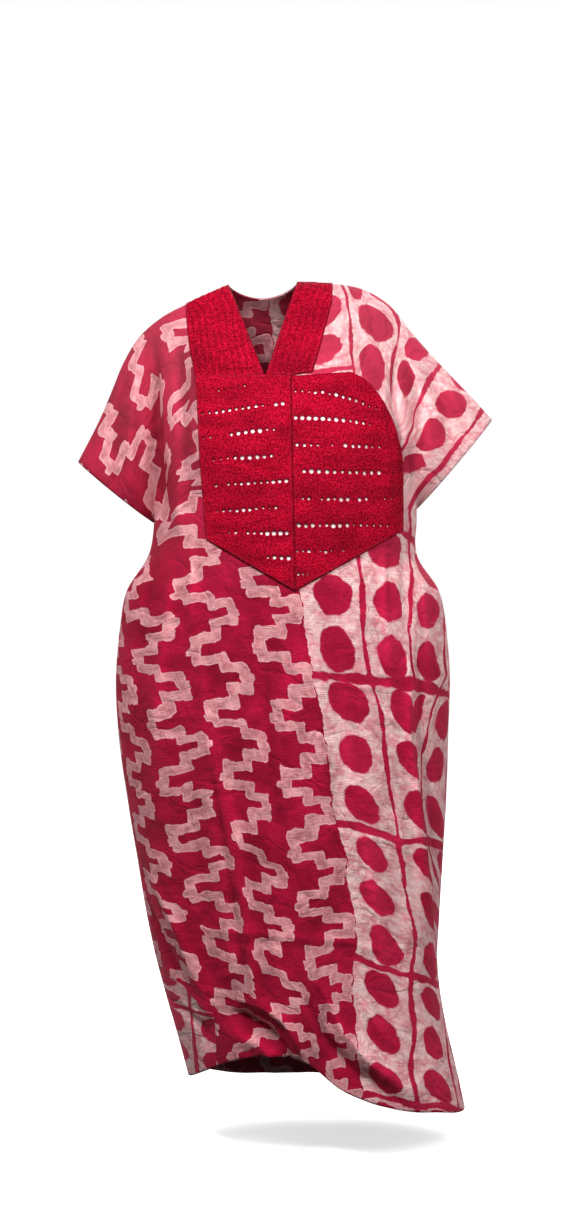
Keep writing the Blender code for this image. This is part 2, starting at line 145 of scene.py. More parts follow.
def top_edge(side, c):
    """Top edge of a panel, at shares c of its width: shoulder, neck, shoulder."""
    c = np.asarray(c, float)
    right = along(SHOULDER_RIGHT, np.clip(3 * c, 0, 1))
    left = along(SHOULDER_LEFT, np.clip(3 * c - 2, 0, 1))
    s = np.clip(3 * c - 1, 0, 1)[..., None]
    a, b, tip = np.array(NECK_RIGHT), np.array(NECK_LEFT), np.array(NECK_TIP)
    if side == "back":
        drop = BACK_NECK_DROP * np.clip(np.sin(np.pi * s), 0, 1) ** 0.7
        neck = a + (b - a) * s - drop * np.array([0.0, 1.0])
    else:
        neck = np.where(s < 0.5, a + (tip - a) * 2 * s, tip + (b - tip) * (2 * s - 1))
    c = c[..., None]
    return np.where(c <= 1 / 3, right, np.where(c >= 2 / 3, left, neck))


def side_x(z):
    return curve(SIDES[:, 0], SIDES[:, 1], z), curve(SIDES[:, 0], SIDES[:, 2], z)


def column_share(c):
    """Share of the body's width at column c: columns close up near the sides."""
    return 0.6 * (0.5 - 0.5 * np.cos(np.pi * c)) + 0.4 * c


def underarm(c):
    """Point of the line that joins the two underarms, at column share c."""
    share = column_share(np.asarray(c, float))
    z = UNDERARM_Z[0] + (UNDERARM_Z[1] - UNDERARM_Z[0]) * share
    right, left = side_x(z)
    return np.stack((right + (left - right) * share, z), axis=-1)


SHOULDER_SAMPLES = np.concatenate((along(SHOULDER_RIGHT, np.linspace(0, 1, 200)),
    along(SHOULDER_LEFT, np.linspace(0, 1, 200))))


def shoulder_z(x):
    return np.interp(x, SHOULDER_SAMPLES[:, 0], SHOULDER_SAMPLES[:, 1])


def smooth_step(low, high, x):
    t = np.clip((x - low) / (high - low), 0.0, 1.0)
    return t * t * (3 - 2 * t)

# %% [markdown]
# ## Folds
#
# Cloth that hangs free makes folds: pipes that start at a point that carries it,
# such as an armhole, and run down, slowly getting wider. A sculptor would draw
# them one by one, and so do these tables. The first holds the large folds that the
# solids have as well. In the second each fold is a line of points with a height and
# two half widths, one for each side of the line, because a fold is nearly always
# steeper on one side.

# %% Folds shared with the solids
# in mm: x and z of the top, x and z of the foot, height out, half width
LARGE_FOLDS = {
  "front": (
    (-151, -100, -150, -400, 10, 30),
    (-182, -130, -176, -380, -11, 26),
    (207, -90, 232, -380, 9, 28),
    (243, -130, 250, -350, -10, 28),
    (-196, -900, -85, -1200, 10, 34),
    (-88, -690, -18, -1200, 9, 34),
    (-128, -740, -62, -1200, -8, 30),
    (226, -500, 276, -1130, 10, 30),
    (176, -540, 222, -1200, -7, 34),
    (100, -1190, 262, -1330, 12, 36),
    (20, -1020, 70, -1250, 12, 50),
    (-60, -1120, 10, -1245, -12, 40)),
  "back": (
    (-140, -110, -150, -420, 10, 32),
    (195, -100, 215, -400, 10, 32),
    (-120, -420, -90, -1280, 13, 45),
    (-20, -330, 0, -1300, -10, 42),
    (80, -300, 100, -1310, 12, 48),
    (180, -450, 215, -1320, -9, 40),
    (235, -520, 268, -1250, 10, 34))}


def large_folds(side, x, z):
    lift = np.zeros(np.broadcast(x, z).shape)
    for x0, z0, x1, z1, height, half_width in metres(LARGE_FOLDS[side]):
        run = np.array([x1 - x0, z1 - z0])
        share = ((x - x0) * run[0] + (z - z0) * run[1]) / (run @ run)
        across = np.abs((x - x0) * run[1] - (z - z0) * run[0]) / math.hypot(*run) / half_width
        inside = (share > 0) & (share < 1) & (across < 1)
        rise = np.sin(np.pi * np.clip(share, 0, 1)) ** 0.7 * (0.5 + 0.5 * np.cos(np.pi * across))
        lift += np.where(inside, height * rise, 0.0)
    return lift

# %% Folds of the cloth itself
def beside(line, x, z):
    """Distance from a line of points, share of its length, and side (+1 to its right)."""
    steps = np.diff(line, axis=0)
    run = np.concatenate(([0.0], np.hypot(*steps.T).cumsum()))
    shape = np.broadcast(x, z).shape
    nearest, share, way = np.full(shape, 1e9), np.zeros(shape), np.zeros(shape)
    for (x0, z0), (dx, dz), start in zip(line, steps, run):
        t = np.clip(((x - x0) * dx + (z - z0) * dz) / (dx * dx + dz * dz), 0, 1)
        ex, ez = x - x0 - t * dx, z - z0 - t * dz
        far = np.hypot(ex, ez)
        closer = far < nearest
        nearest = np.where(closer, far, nearest)
        share = np.where(closer, (start + t * math.hypot(dx, dz)) / run[-1], share)
        way = np.where(closer, np.sign(dx * ez - dz * ex), way)
    return nearest, share, way


# in mm: height out, half widths left and right of the line, then the line's points,
# x and z, top to foot
FINE_FOLDS = {
  "front": (
    # the two armholes, where the sleeve folds under itself
    (-16, 22, 10, -176, -90, -174, -150, -172, -220, -166, -290, -162, -335, -154, -400),
    (5, 12, 26, -152, -120, -149, -220, -143, -330, -136, -460),
    (-15, 9, 22, 214, -98, 208, -150, 206, -190, 216, -235, 225, -300, 231, -410),
    (4, 20, 10, 196, -115, 190, -190, 200, -290, 212, -430),
    # sleeves: soft folds from the shoulder to the cuffs
    (7, 20, 14, -196, -85, -214, -160, -222, -250, -214, -345),
    (-6, 12, 14, -214, -110, -240, -190, -252, -280),
    (5, 16, 12, -236, -145, -268, -225, -282, -290),
    (-5, 12, 14, -186, -220, -190, -300, -182, -385),
    (7, 14, 22, 236, -105, 256, -180, 262, -260, 252, -345),
    (-6, 14, 12, 258, -120, 292, -200, 300, -275),
    (5, 12, 16, 284, -140, 322, -200, 340, -235),
    (-4, 10, 12, 236, -240, 240, -310, 236, -380),
    # from the shoulder over the chest, beside the yoke
    (-3, 14, 18, -140, -60, -136, -160, -128, -270),
    (4, 20, 12, 150, -30, 176, -100, 194, -160),
    # down from the underarms
    (7, 22, 30, -150, -430, -160, -540, -178, -700, -176, -860),
    (-5, 18, 18, -178, -440, -196, -560, -206, -700),
    (4, 14, 20, -120, -400, -118, -520, -104, -640),
    (-6, 16, 12, 226, -420, 226, -520, 230, -600),
    (6, 20, 14, 196, -420, 194, -540, 206, -640),
    (4, 14, 16, 256, -460, 268, -580, 272, -660),
    # the sharp tuck down the left side, with its lit edge and its dark bed
    (7, 24, 7, 228, -570, 240, -650, 236, -700, 238, -745, 248, -800, 256, -860, 264, -930,
     274, -1000, 281, -1090),
    (-9, 8, 18, 244, -590, 254, -660, 250, -705, 253, -745, 262, -800, 270, -860, 276, -930,
     284, -1020),
    (-3, 10, 10, 206, -770, 222, -840, 232, -930, 244, -1040),
    # the long fold right of the middle, dark on its outer side
    (6, 7, 24, -66, -800, -49, -885, -36, -985, -28, -1040, -20, -1110, -10, -1170),
    (-8, 26, 8, -90, -760, -66, -885, -50, -985, -42, -1050, -33, -1110, -26, -1160),
    (3, 18, 18, -104, -560, -94, -700, -80, -860),
    # the fold that sweeps in from the right side to the hem
    (9, 8, 26, -200, -950, -176, -1000, -150, -1050, -130, -1098, -116, -1130, -92, -1168),
    (-10, 22, 9, -204, -985, -184, -1035, -158, -1085, -138, -1125, -116, -1160),
    (6, 14, 18, -160, -1128, -128, -1150, -94, -1180, -72, -1205),
    (-7, 12, 12, -170, -1172, -130, -1190, -94, -1215, -84, -1250),
    # the swag over the hem: a lit brim, and the dark hollow below it
    (10, 24, 8, 66, -1262, 52, -1225, 30, -1190, 0, -1170, -50, -1156),
    (-14, 10, 30, 52, -1275, 34, -1230, 10, -1204, -22, -1188, -62, -1178),
    (6, 12, 20, 20, -1256, -14, -1228, -56, -1212),
    (6, 18, 14, 90, -1130, 124, -1200, 176, -1262, 240, -1310),
    (-7, 14, 16, 66, -1150, 96, -1214, 146, -1276, 200, -1312),
    (4, 12, 12, 150, -1150, 196, -1220, 254, -1276),
    # shallow folds over the skirt
    (3, 20, 16, 30, -560, 40, -720, 62, -900),
    (-3, 16, 16, 0, -600, 12, -760, 36, -960),
    (3, 16, 20, 120, -600, 130, -740, 152, -880),
    (-3, 16, 14, 96, -700, 112, -860, 128, -1020),
    (4, 16, 18, 160, -900, 180, -1000, 196, -1110),
    # creases from the iron and from folding, hardly raised
    (1.8, 7, 7, -252, -712, -171, -703, -88, -693),
    (2.2, 8, 8, -192, -1059, -106, -1046, -7, -1047, 124, -1059, 173, -1075, 286, -1122),
    (-1.8, 8, 8, -186, -1075, -90, -1064, 20, -1064, 130, -1078),
    (1.6, 7, 7, 60, -640, 140, -648, 222, -655),
    (2, 7, 7, 186, -690, 216, -712, 246, -720),
    (1.8, 8, 8, 84, -865, 140, -892, 214, -905)),
  "back": (
    # the back: sleeves, and long pipes from the shoulders
    (-11, 18, 11, -166, -100, -160, -240, -158, -400),
    (-10, 11, 18, 206, -100, 212, -240, 226, -400),
    (6, 18, 14, -200, -90, -222, -200, -216, -350),
    (-5, 12, 14, -222, -120, -252, -220, -256, -290),
    (6, 14, 20, 238, -110, 260, -210, 254, -340),
    (-5, 12, 12, 262, -130, 300, -220, 306, -270),
    (6, 26, 20, -90, -130, -104, -330, -128, -640, -140, -960),
    (-6, 20, 24, -60, -160, -66, -400, -80, -760),
    (5, 20, 22, -22, -150, -20, -420, -34, -820, -46, -1180),
    (-7, 22, 18, 36, -220, 44, -560, 50, -1000, 48, -1260),
    (6, 20, 26, 100, -120, 112, -340, 134, -700, 150, -1060),
    (-6, 20, 18, 150, -130, 166, -380, 182, -760),
    (7, 18, 24, 196, -420, 212, -640, 226, -940, 236, -1240),
    (-6, 18, 18, -150, -440, -176, -640, -176, -900),
    (6, 20, 18, -196, -460, -206, -680, -180, -980, -150, -1220),
    (-6, 20, 22, -90, -940, -80, -1120, -68, -1300),
    (5, 18, 16, -120, -1080, -114, -1200, -106, -1320),
    (-5, 16, 18, 110, -1000, 128, -1140, 140, -1310),
    (1.8, 8, 8, -220, -705, -60, -700, 100, -704, 270, -716),
    (2, 8, 8, -180, -1052, -20, -1046, 120, -1052, 270, -1070))}


def fine_folds(side, x, z):
    lift = np.zeros(np.broadcast(x, z).shape)
    for fold in FINE_FOLDS[side]:
        height, left_half, right_half, *line = metres(fold)
        nearest, share, way = beside(np.reshape(line, (-1, 2)), x, z)
        wide = np.where(way < 0, left_half, right_half) * (0.6 + 0.8 * share)
        near = 1 - np.clip(nearest / wide, 0, 1)
        rise = 0.4 * near * near * (3 - 2 * near) + 0.6 * near ** 1.7
        lift += 1.4 * height * rise * np.sin(np.pi * np.clip(share, 0.02, 0.98)) ** 0.6
    return lift


def ripples(side, x, z):
    """Low waves that cloth has everywhere, longer down than across; a fixed seed."""
    random = np.random.default_rng(31 if side == "front" else 47)
    lift = np.zeros(np.broadcast(x, z).shape)
    for length in np.geomspace(0.035, 0.16, 16):
        turn = random.normal(0.0, 0.42)
        phase, slow_phase = random.uniform(0, 2 * np.pi, 2)
        run = (x * math.cos(turn) + z * math.sin(turn)) / length
        slow = (z * math.cos(turn) - x * math.sin(turn)) / (length * random.uniform(2.2, 4.0))
        swing = np.sin(2 * np.pi * run + phase + 2.0 * np.sin(2 * np.pi * slow))
        lift += 0.0075 * length * swing * np.sin(2 * np.pi * slow * 0.6 + slow_phase)
    return lift


CREASES = 150             # short creases on each side


def crumples(side, x, z):
    """Short sharp creases that starched cotton keeps from wearing; a fixed seed."""
    random = np.random.default_rng(12 if side == "front" else 13)
    lift = np.zeros(np.broadcast(x, z).shape)
    for _ in range(CREASES):
        dx, dz = x - random.uniform(-0.28, 0.34), z - random.uniform(-1.33, -0.06)
        turn = random.choice((0.1, 0.75, -0.75, 1.35)) + random.normal(0.0, 0.22)
        half_length, half_width = random.uniform(0.02, 0.075), random.uniform(0.007, 0.012)
        height = random.choice((-1, 1)) * random.uniform(0.0005, 0.0014)
        run = (dx * math.cos(turn) + dz * math.sin(turn)) / half_length
        across = (dz * math.cos(turn) - dx * math.sin(turn)) / half_width
        across = np.clip(1 - np.abs(across + random.normal(0.0, 0.7) * run ** 2), 0, 1)
        lift += height * np.clip(1 - run ** 2, 0, 1) * across ** 1.3
    return lift

# %% [markdown]
# ## The surface
#
# One function gives the distance of a panel from the middle plane at any x and z.
# Its parts are the round of the body, the flat tube of the sleeve, the pocket's
# mouth that is pushed open a little, and the folds.

# %% Depth of a panel
COLUMNS, SLEEVE_ROWS, SKIRT_ROWS = 150, 96, 200
mouth_first, mouth_last = (round(share * SKIRT_ROWS) + SLEEVE_ROWS for share in MOUTH_ROWS)


def depth(side, x, z, sleeve_share, mouth, folded):
    right, left = side_x(z)
    across = np.clip(np.abs((x - (left + right) / 2) / ((left - right) / 2)), 0, 1)
    body = curve(DEPTHS[:, 0], DEPTHS[:, SIDE_COLUMN[side]], z)
    sleeve_share = np.clip(sleeve_share, 0, 1)
    soft = np.minimum(4.0 * (1.0 - sleeve_share), 1.0)
    body = body * (1.0 - across ** (2.3 + 0.7 * soft)) ** (0.5 + 0.35 * soft)
    below = np.clip((shoulder_z(x) - z) / SHOULDER_ROUND, 0, 1)
    body = body * np.sqrt(1.0 - (1.0 - below) ** 2)
    outside = sum(smooth_step(near, far, x) for near, far in SLEEVES_FROM)
    sleeve = SLEEVE_DEPTH * outside * np.clip(np.sin(np.pi * sleeve_share), 0, 1) ** 0.6
    whole = np.sqrt(body ** 2 + sleeve ** 2 + mouth ** 2)
    lift = 0.0
    if folded:
        lift = large_folds(side, x, z) + fine_folds(side, x, z)
        lift = lift + ripples(side, x, z) + crumples(side, x, z)
    return SEAM + whole + lift * np.clip(whole / 0.06, 0, 1)


def grid_points(side, folded=True):
    """Outer face of a panel: rows from the shoulder to the hem."""
    sign = -1.0 if side == "front" else 1.0
    c = np.linspace(0, 1, COLUMNS + 1)[None, :]
    share = (np.arange(SLEEVE_ROWS) / SLEEVE_ROWS)[:, None] ** 1.3
    top, low = top_edge(side, c), underarm(c)
    upper = top + (low - top) * share[..., None]
    y_upper = depth(side, upper[..., 0], upper[..., 1], share + 0 * c, 0.0, folded)
    first, last = MOUTH_ROWS
    share = np.linspace(0, 1, SKIRT_ROWS + 1)[:, None]
    gap = np.clip(1.0 - ((share - (first + last) / 2) / ((last - first) / 2)) ** 2, 0, 1)
    z0 = low[..., 1]
    z = z0 + (curve(HEM[:, 0], HEM[:, SIDE_COLUMN[side]], column_share(c)) - z0) * share
    right, left = side_x(z)
    x = right + (left - right) * column_share(c)
    y_lower = depth(side, x, z, np.ones_like(x), MOUTH_HALF_GAP * np.sqrt(gap) + 0 * x, folded)
    upper = np.stack((upper[..., 0], sign * y_upper, upper[..., 1]), axis=-1)
    lower = np.stack((x, sign * y_lower, z), axis=-1)
    return np.concatenate((upper, lower))


def grid_normals(points, side):
    """Outward directions; on a seam they stay in the middle plane."""
    down, over = np.gradient(points, axis=0), np.gradient(points, axis=1)
    normals = np.cross(over, down) * (-1.0 if side == "front" else 1.0)
    column = np.arange(COLUMNS + 1)
    neck = (column > COLUMNS // 3) & (column < COLUMNS - COLUMNS // 3)
    normals[0, ~neck, 1] = 0.0
    normals[SLEEVE_ROWS:, (0, -1), 1] = 0.0
    return normals / np.linalg.norm(normals, axis=2, keepdims=True)


def grid_faces(rows, columns, flip):
    r, c = np.meshgrid(np.arange(rows - 1), np.arange(columns - 1), indexing="ij")
    a = (r * columns + c).ravel()
    quads = np.stack((a, a + columns, a + columns + 1, a + 1), axis=1)
    return quads[:, ::-1] if flip else quads

# %% Turn points and faces into a closed sheet
GARMENT = bpy.data.collections.new("grand_boubou_robe_dressed")
bpy.context.scene.collection.children.link(GARMENT)


def mesh_piece(name, vertices, faces, material, attributes=()):
    mesh = bpy.data.meshes.new(name)
    mesh.from_pydata([tuple(v) for v in vertices], [], [tuple(int(k) for k in f) for f in faces])
    for label, values in attributes:
        layer = mesh.attributes.new(label, "FLOAT_VECTOR", "POINT")
        layer.data.foreach_set("vector", np.asarray(values, np.float32).ravel())
    mesh.materials.append(material)
    mesh.shade_smooth()
    mesh.update()
    piece = bpy.data.objects.new(name, mesh)
    GARMENT.objects.link(piece)
    return piece


def closed_sheet(name, outer, inner, faces, material, attributes=()):
    """Two faces of cloth and the narrow rim between them."""
    count = len(outer)
    faces = [tuple(int(k) for k in f) for f in faces]
    directed = {(f[i], f[(i + 1) % len(f)]) for f in faces for i in range(len(f))}
    rim = sorted((a, b) for a, b in directed if (b, a) not in directed)
    whole = faces + [tuple(k + count for k in reversed(f)) for f in faces]
    whole += [(b, a, a + count, b + count) for a, b in rim]
    doubled = [(label, np.concatenate((values, values))) for label, values in attributes]
    return mesh_piece(name, np.concatenate((outer, inner)), whole, material, doubled)

# %% [markdown]
# ## Charting the print
#
# The cotton is adire: white cloth that was painted with starch or wax through a
# stencil and by hand, and then dyed raspberry. The painted parts stay pale. On one
# half stepped zigzag lines run down; on the other, rows of dots stand between red
# lines. The print follows the threads, and the threads bend with every fold, so a
# chart is needed: at each point of the robe, how far across and how far down the
# print it is. A few dozen landmarks, such as a zigzag's tips and the middles of the
# dots, give the chart where they show, and a thin bent plate carries it between
# them, as stiff cloth would. Painting the print flat through the robe from the
# front would be quicker, but it would smear along the sides.

# %% Landmarks of the print
# All in mm. Each row holds the landmarks that lie equally far across the print: it starts
# with that distance, and gives for each landmark the place across and down the cloth
# and the distance down the print. Where a landmark fixes only one of the two, the other
# is None.
BODY_LANDMARKS = {
    -92: (-74, 484, 100, -54, 585, 208, -26, 698, 316, -17, 809, 424, -9, 921, 532, -1, 1012, 640,
        15, 1111, 748),
    -193.5: (-191, 514, 100, -166, 606, 208, -130, 706, 316, -111, 798, 424, -99, 897, 532,
        -88, 981, 640, -312, 57, -332),
    -295: (-281, 628, 208, -243, 731, 316, -231, 824, 424, -227, 923, 532, -209, 1005, 640,
        -176, 1076, 748, -330, 544, 100),
    -396.5: (-338, 720, 316, -319, 813, 424, -328, 906, 532),
    -100.1: (-70, 530, 156.2, -46, 638, 264.2, -23, 747, 372.2, -25, 842, 480.2, -1, 956, 588.2,
        2, 1039, 696.2, 24, 1150, 804.2),
    -201.6: (-175, 554, 156.2, -154, 649, 264.2, -119, 744, 372.2, -126, 842, 480.2,
        -100, 931, 588.2),
    -303.1: (-267, 670, 264.2, -235, 773, 372.2, -245, 863, 480.2, -223, 953, 588.2,
        -200, 1033, 696.2),
    -141.5: (-159, 361, -27.2, -161, 335, -48.8, -142, 450, 59.2, -138, 473, 80.8),
    -178.3: (-223, 374, -27.2),
    -176.5: (-242, 396, -10.2, -243, 413, 8.2, -177, 487, 80.8, -176, 296, -116, -177, 282, -137.6,
        -225, 214, -213.2, -216, 168, -245.6),
    -140.7: (-159, 397, 8.2, -158, 415, 26.9, -202, 198, -207.8, -191, 214, -189.4),
    -112.3: (-122, 421, 26.9, -116, 443, 59.2, -177, 194, -189.4),
    -158: (-157, 307, -99.8),
    -141.7: (-207, 138, -251),
    -213.8: (-234, 264, -172.7),
    50: (80, 500, 125, 85, 588, 208.3, 109, 678, 291.7, 124, 762, 375, 130, 845, 458.3,
        146, 925, 541.7, 157, 1002, 625, 166, 1079, 708.3, 157, 1150, 791.7, 160, 1226, 875),
    150: (181, 432, 41.7, 185, 519, 125, 184, 610, 208.3, 209, 701, 291.7, 223, 784, 375,
        242, 869, 458.3, 301, 36, -333.3, 231, 127, -250),
    250: (319, 481, 41.7, 270, 545, 125, 262, 626, 208.3),
    0: (28, 497, None, 37, 562, None, 47, 612, None, 71, 725, None, 80, 788, None, 84, 856, None,
        99, 915, None, 102, 964, None, 112, 1017, None, 116, 1066, None, 109, 1108, None,
        108, 1156, None, 109, 1210, None, 101, 1266, None),
    88: (290, -42, None),
    95: (247, 30, None),
    99: (210, 88, None, 192, 130, -250),
    99.5: (168, 705, None, 178, 773, None, 192, 846, None, 201, 929, None, 212, 985, None,
        221, 1037, None, 234, 1096, None, 218, 1151, None, 218, 1193, None, 224, 1235, None,
        197, 1325, None),
    None: (99, 873, 500, 170, 901, 500, 211, 917, 500, 110, 1092, 750, 147, 1112, 750,
        213, 1142, 750, 96, 635, 250, 150, 645, 250, 217, 658, 250, 127, 132, -250)}
# on the sleeves the place is x and z of the robe
RIGHT_SLEEVE_LANDMARKS = {
    -396.5: (-262, -308, -332, -185, -383, -224),
    -303.1: (-187, -236, -275.8, -254, -190, -383.8),
    -295: (-207, -205, -332),
    -201.6: (-124, -143, -275.8, -200, -78, -383.8),
    -193.5: (-177, -85, -332),
    -154.9: (-130, -50, -364.4, -127, -104, -305)}
LEFT_SLEEVE_LANDMARKS = {
    295: (286, -127, None, 267, -152, None, 257, -175, None, 242, -206, None, 218, -236, None),
    398: (361, -201, None, 321, -252, None, 287, -297, None, 254, -332, None),
    345: (305, -190, -250, 272, -242, -166.7, 238, -285, -83.3),
    250: (232, -145, -250, 246, -104, -333.3, 229, -115, -288, 232, -178, -214, 225, -225, -203),
    None: (319, -199, -250, 291, -182, -250, 287, -250, -166.7, 258, -233, -166.7,
        252, -294, -83.3, 223, -276, -83.3, 245, -147, -250, 219, -144, -250, 106, -138, -250,
        130, -138, -250),
    190: (164, -7, None),
    193: (195, -24, None),
    199: (220, -49, None, 216, -116, None, 198, -148, None, 195, -187, None, 204, -207, None),
    270: (220, -251, -185),
    99.5: (135, -10, None, 138, -46, None, 139, -88, None, 141, -119, None, 145, -134, None),
    50: (93, -42, -375, 93, -112, -291.7),
    150: (184, -54, -333.3, 172, -131, -250)}
RIGHT_ARMHOLE = metres(((-177, -94), (-174, -127), (-173, -198), (-167, -269), (-163, -325),
    (-153, -381)))
LEFT_ARMHOLE = metres(((216, -103), (210, -140), (206, -186), (214, -226), (223, -267),
    (226, -310), (230, -398)))
SIDE_TUCK = metres(((238, -641), (244, -674), (240, -700), (242, -741), (251, -791), (253, -815),
    (261, -864), (268, -924), (274, -976), (280, -1046), (285, -1118)))
# height, how much cloth the tuck hides there
TUCK_TAKES = metres(((-1120, 0), (-1000, 100), (-900, 140), (-840, 140), (-765, 100), (-690, 55),
    (-640, 0)))
HEM_FLAP = metres(((-166, -1136), (-135, -1145), (-120, -1161), (-83, -1184), (-81, -1206),
    (-80, -1236), (-79, -1290)))
FIELD = 0.442             # the zigzag field is this wide, with dots on both sides
print(sum(map(len, BODY_LANDMARKS.values())) // 3, "landmarks on the body")

# %% Bend a thin plate through landmarks
def bent_plate(table, place_x, place_y):
    """Chart values carried from a table's landmarks to every place."""
    every = metres([(*row[k:k + 2], across, row[k + 2])
                    for across, row in table.items() for k in range(0, len(row), 3)])
    made = []
    for k in (2, 3):
        rows = every[~np.isnan(every[:, k])]
        count = len(rows)
        flat = np.concatenate((np.ones((count, 1)), rows[:, :2]), axis=1)
        far = np.hypot(rows[:, None, 0] - rows[:, 0], rows[:, None, 1] - rows[:, 1])
        stiff = far ** 2 * np.log(far + 1e-12) + 2e-4 * np.eye(count)
        whole = np.block([[stiff, flat], [flat.T, np.zeros((3, 3))]])
        weights = np.linalg.solve(whole, np.concatenate((rows[:, k], np.zeros(3))))
        value = weights[count] + weights[count + 1] * place_x + weights[count + 2] * place_y
        for (lx, ly), weight in zip(rows[:, :2], weights):
            reach = np.hypot(place_x - lx, place_y - ly)
            value = value + weight * reach ** 2 * np.log(reach + 1e-12)
        made.append(value)
    return made


def unrolled(points):
    """Distances across and down the cloth itself, over every fold."""
    over = np.linalg.norm(np.diff(points, axis=1), axis=2).cumsum(axis=1)
    across = np.concatenate((np.zeros((len(points), 1)), over), axis=1)
    across = across - across[:, [points.shape[1] // 2]]
    fall = np.linalg.norm(np.diff(points, axis=0), axis=2).cumsum(axis=0)
    down = np.concatenate((np.zeros((1, points.shape[1])), fall))
    return across, down - down[SLEEVE_ROWS] - points[SLEEVE_ROWS, :, 2]

# %% The chart of a panel
def charts(side, points, hollow):
    """The print's chart, and a second one with the signed distance where it starts."""
    x, z = points[..., 0], points[..., 2]
    across, down = unrolled(points)
    if side == "back":
        u = across - 0.03 - 0.05 * (down - 0.4) + 0.007 * np.sin(6 * down + 9 * across)
        v = down - 0.383 + 0.008 * np.sin(9 * across + 0.7) + 0.006 * np.sin(13 * down)
        return np.stack((u, v, hollow), axis=-1), np.stack((u, v, 0 * u - 1), axis=-1)
    u, v = bent_plate(BODY_LANDMARKS, across, down)
    sleeves = [bent_plate(RIGHT_SLEEVE_LANDMARKS, x, z), bent_plate(LEFT_SLEEVE_LANDMARKS, x, z)]
    on_left = x > 0.02
    sleeve_u, sleeve_v = (np.where(on_left, sleeves[1][k], sleeves[0][k]) for k in (0, 1))
    sleeve_v = np.where(on_left, np.minimum(sleeve_v, -0.042), sleeve_v)
    top = smooth_step(-0.125, -0.075, z)
    u, v = u + (sleeve_u - u) * top, v + (sleeve_v - v) * top
    # the cloth turns in under the armhole and takes a little of the print with it
    near = np.exp(-((x + 0.165) / 0.026) ** 2 - ((z + 0.188) / 0.026) ** 2)
    u = u + 0.016 * near
    reach, _, way = beside(RIGHT_ARMHOLE, x, z)
    reach_left, _, way_left = beside(LEFT_ARMHOLE, x, z)
    distance = np.where(on_left, reach_left * way_left, -reach * way)
    beyond_u, beyond_v = sleeve_u, sleeve_v
    rows = np.arange(len(points))[:, None]
    distance = np.where(rows < SLEEVE_ROWS, distance, -1.0)
    reach, _, way = beside(SIDE_TUCK, x, z)
    tuck = (x > 0.1) & (z < -0.55) & (z > -1.12)
    beyond_u = np.where(tuck, u + curve(TUCK_TAKES[:, 0], TUCK_TAKES[:, 1], z), beyond_u)
    beyond_v = np.where(tuck, v, beyond_v)
    distance = np.where(tuck, reach * way, distance)
    reach, _, way = beside(HEM_FLAP, x, z)
    flap = (x < 0.0) & (z < -1.0)
    beyond_u = np.where(flap, -FIELD - 0.05 + 1.3 * (x + 0.081) + 0.12 * (z + 1.2155), beyond_u)
    beyond_v = np.where(flap, 0.0417 - 1.5 * (z + 1.2155), beyond_v)
    distance = np.where(flap, -reach * way, distance)
    return (np.stack((u, v, hollow), axis=-1), np.stack((beyond_u, beyond_v, distance), axis=-1))

# %% [markdown]
# ## Materials
#
# A material is a small graph of nodes. One function adds a node, sets it and links
# it, and one turns the colours, which are written as on a screen, to the linear
# numbers that light is reckoned with.

# %% Helpers for materials
def colour(code):
    """A colour such as #A0B1C2 as linear red, green, blue and a full cover."""
    parts = [int(code[k:k + 2], 16) / 255 for k in (1, 3, 5)]
    return (*(c / 12.92 if c <= 0.04045 else ((c + 0.055) / 1.055) ** 2.4 for c in parts), 1.0)


def feed(tree, socket, value):
    """Set an input to a number or a colour, or link it to a socket or a node's output."""
    if isinstance(value, bpy.types.Node):
        value = next(output for output in value.outputs if output.enabled)
    if isinstance(value, bpy.types.NodeSocket):
        tree.links.new(value, socket)
    else:
        socket.default_value = value


# settings that a kind of node has here unless a call says otherwise
USUAL = {"Mix": {"data_type": "RGBA"}, "TexNoise": {"noise_dimensions": "2D"},
         "TexVoronoi": {"voronoi_dimensions": "2D"}}


def add_node(tree, kind, *inputs, **named):
    """Add a node such as "Math ADD", with its inputs in the order in which it shows them.

    A name that starts with a capital is one more input, the other names are settings.
    """
    kind, *operation = kind.split()
    node = tree.nodes.new(kind if "Node" in kind else "ShaderNode" + kind)
    named = {**USUAL.get(kind, {}), **{"operation": name for name in operation}, **named}
    for key in filter(str.islower, named):
        setattr(node, key, named[key])
    for socket, value in zip([each for each in node.inputs if each.enabled], inputs):
        feed(tree, socket, value)
    for key in named:
        if not key.islower():
            feed(tree, node.inputs[key.replace("_", " ")], named[key])
    return node


def new_material(name, **finish):
    """A material with its constant numbers set, its shader, and what adds nodes to it."""
    material = bpy.data.materials.new(name)
    material.use_nodes = True
    shader = material.node_tree.nodes["Principled BSDF"]
    for key, value in finish.items():
        shader.inputs[key.replace("_", " ")].default_value = value
    return material, shader, partial(add_node, material.node_tree)


def cover(shader, shade, height, strength, distance):
    """Colour a shader, and let the light catch on a height."""
    tree = shader.id_data
    feed(tree, shader.inputs["Base Color"], shade)
    bump = add_node(tree, "Bump", Height=height, Strength=strength, Distance=distance)
    feed(tree, shader.inputs["Normal"], bump)
    print(len(tree.nodes), "nodes")

# %% [markdown]
# ### Adire cotton
#
# Plain-woven cotton, starch-resist painted and hand dyed: soft, nearly matt, with a
# faint sheen from pressing. The dye is cloudy, the painted edges are a little
# ragged, and where the wax cracked fine pink veins run through the pale parts.

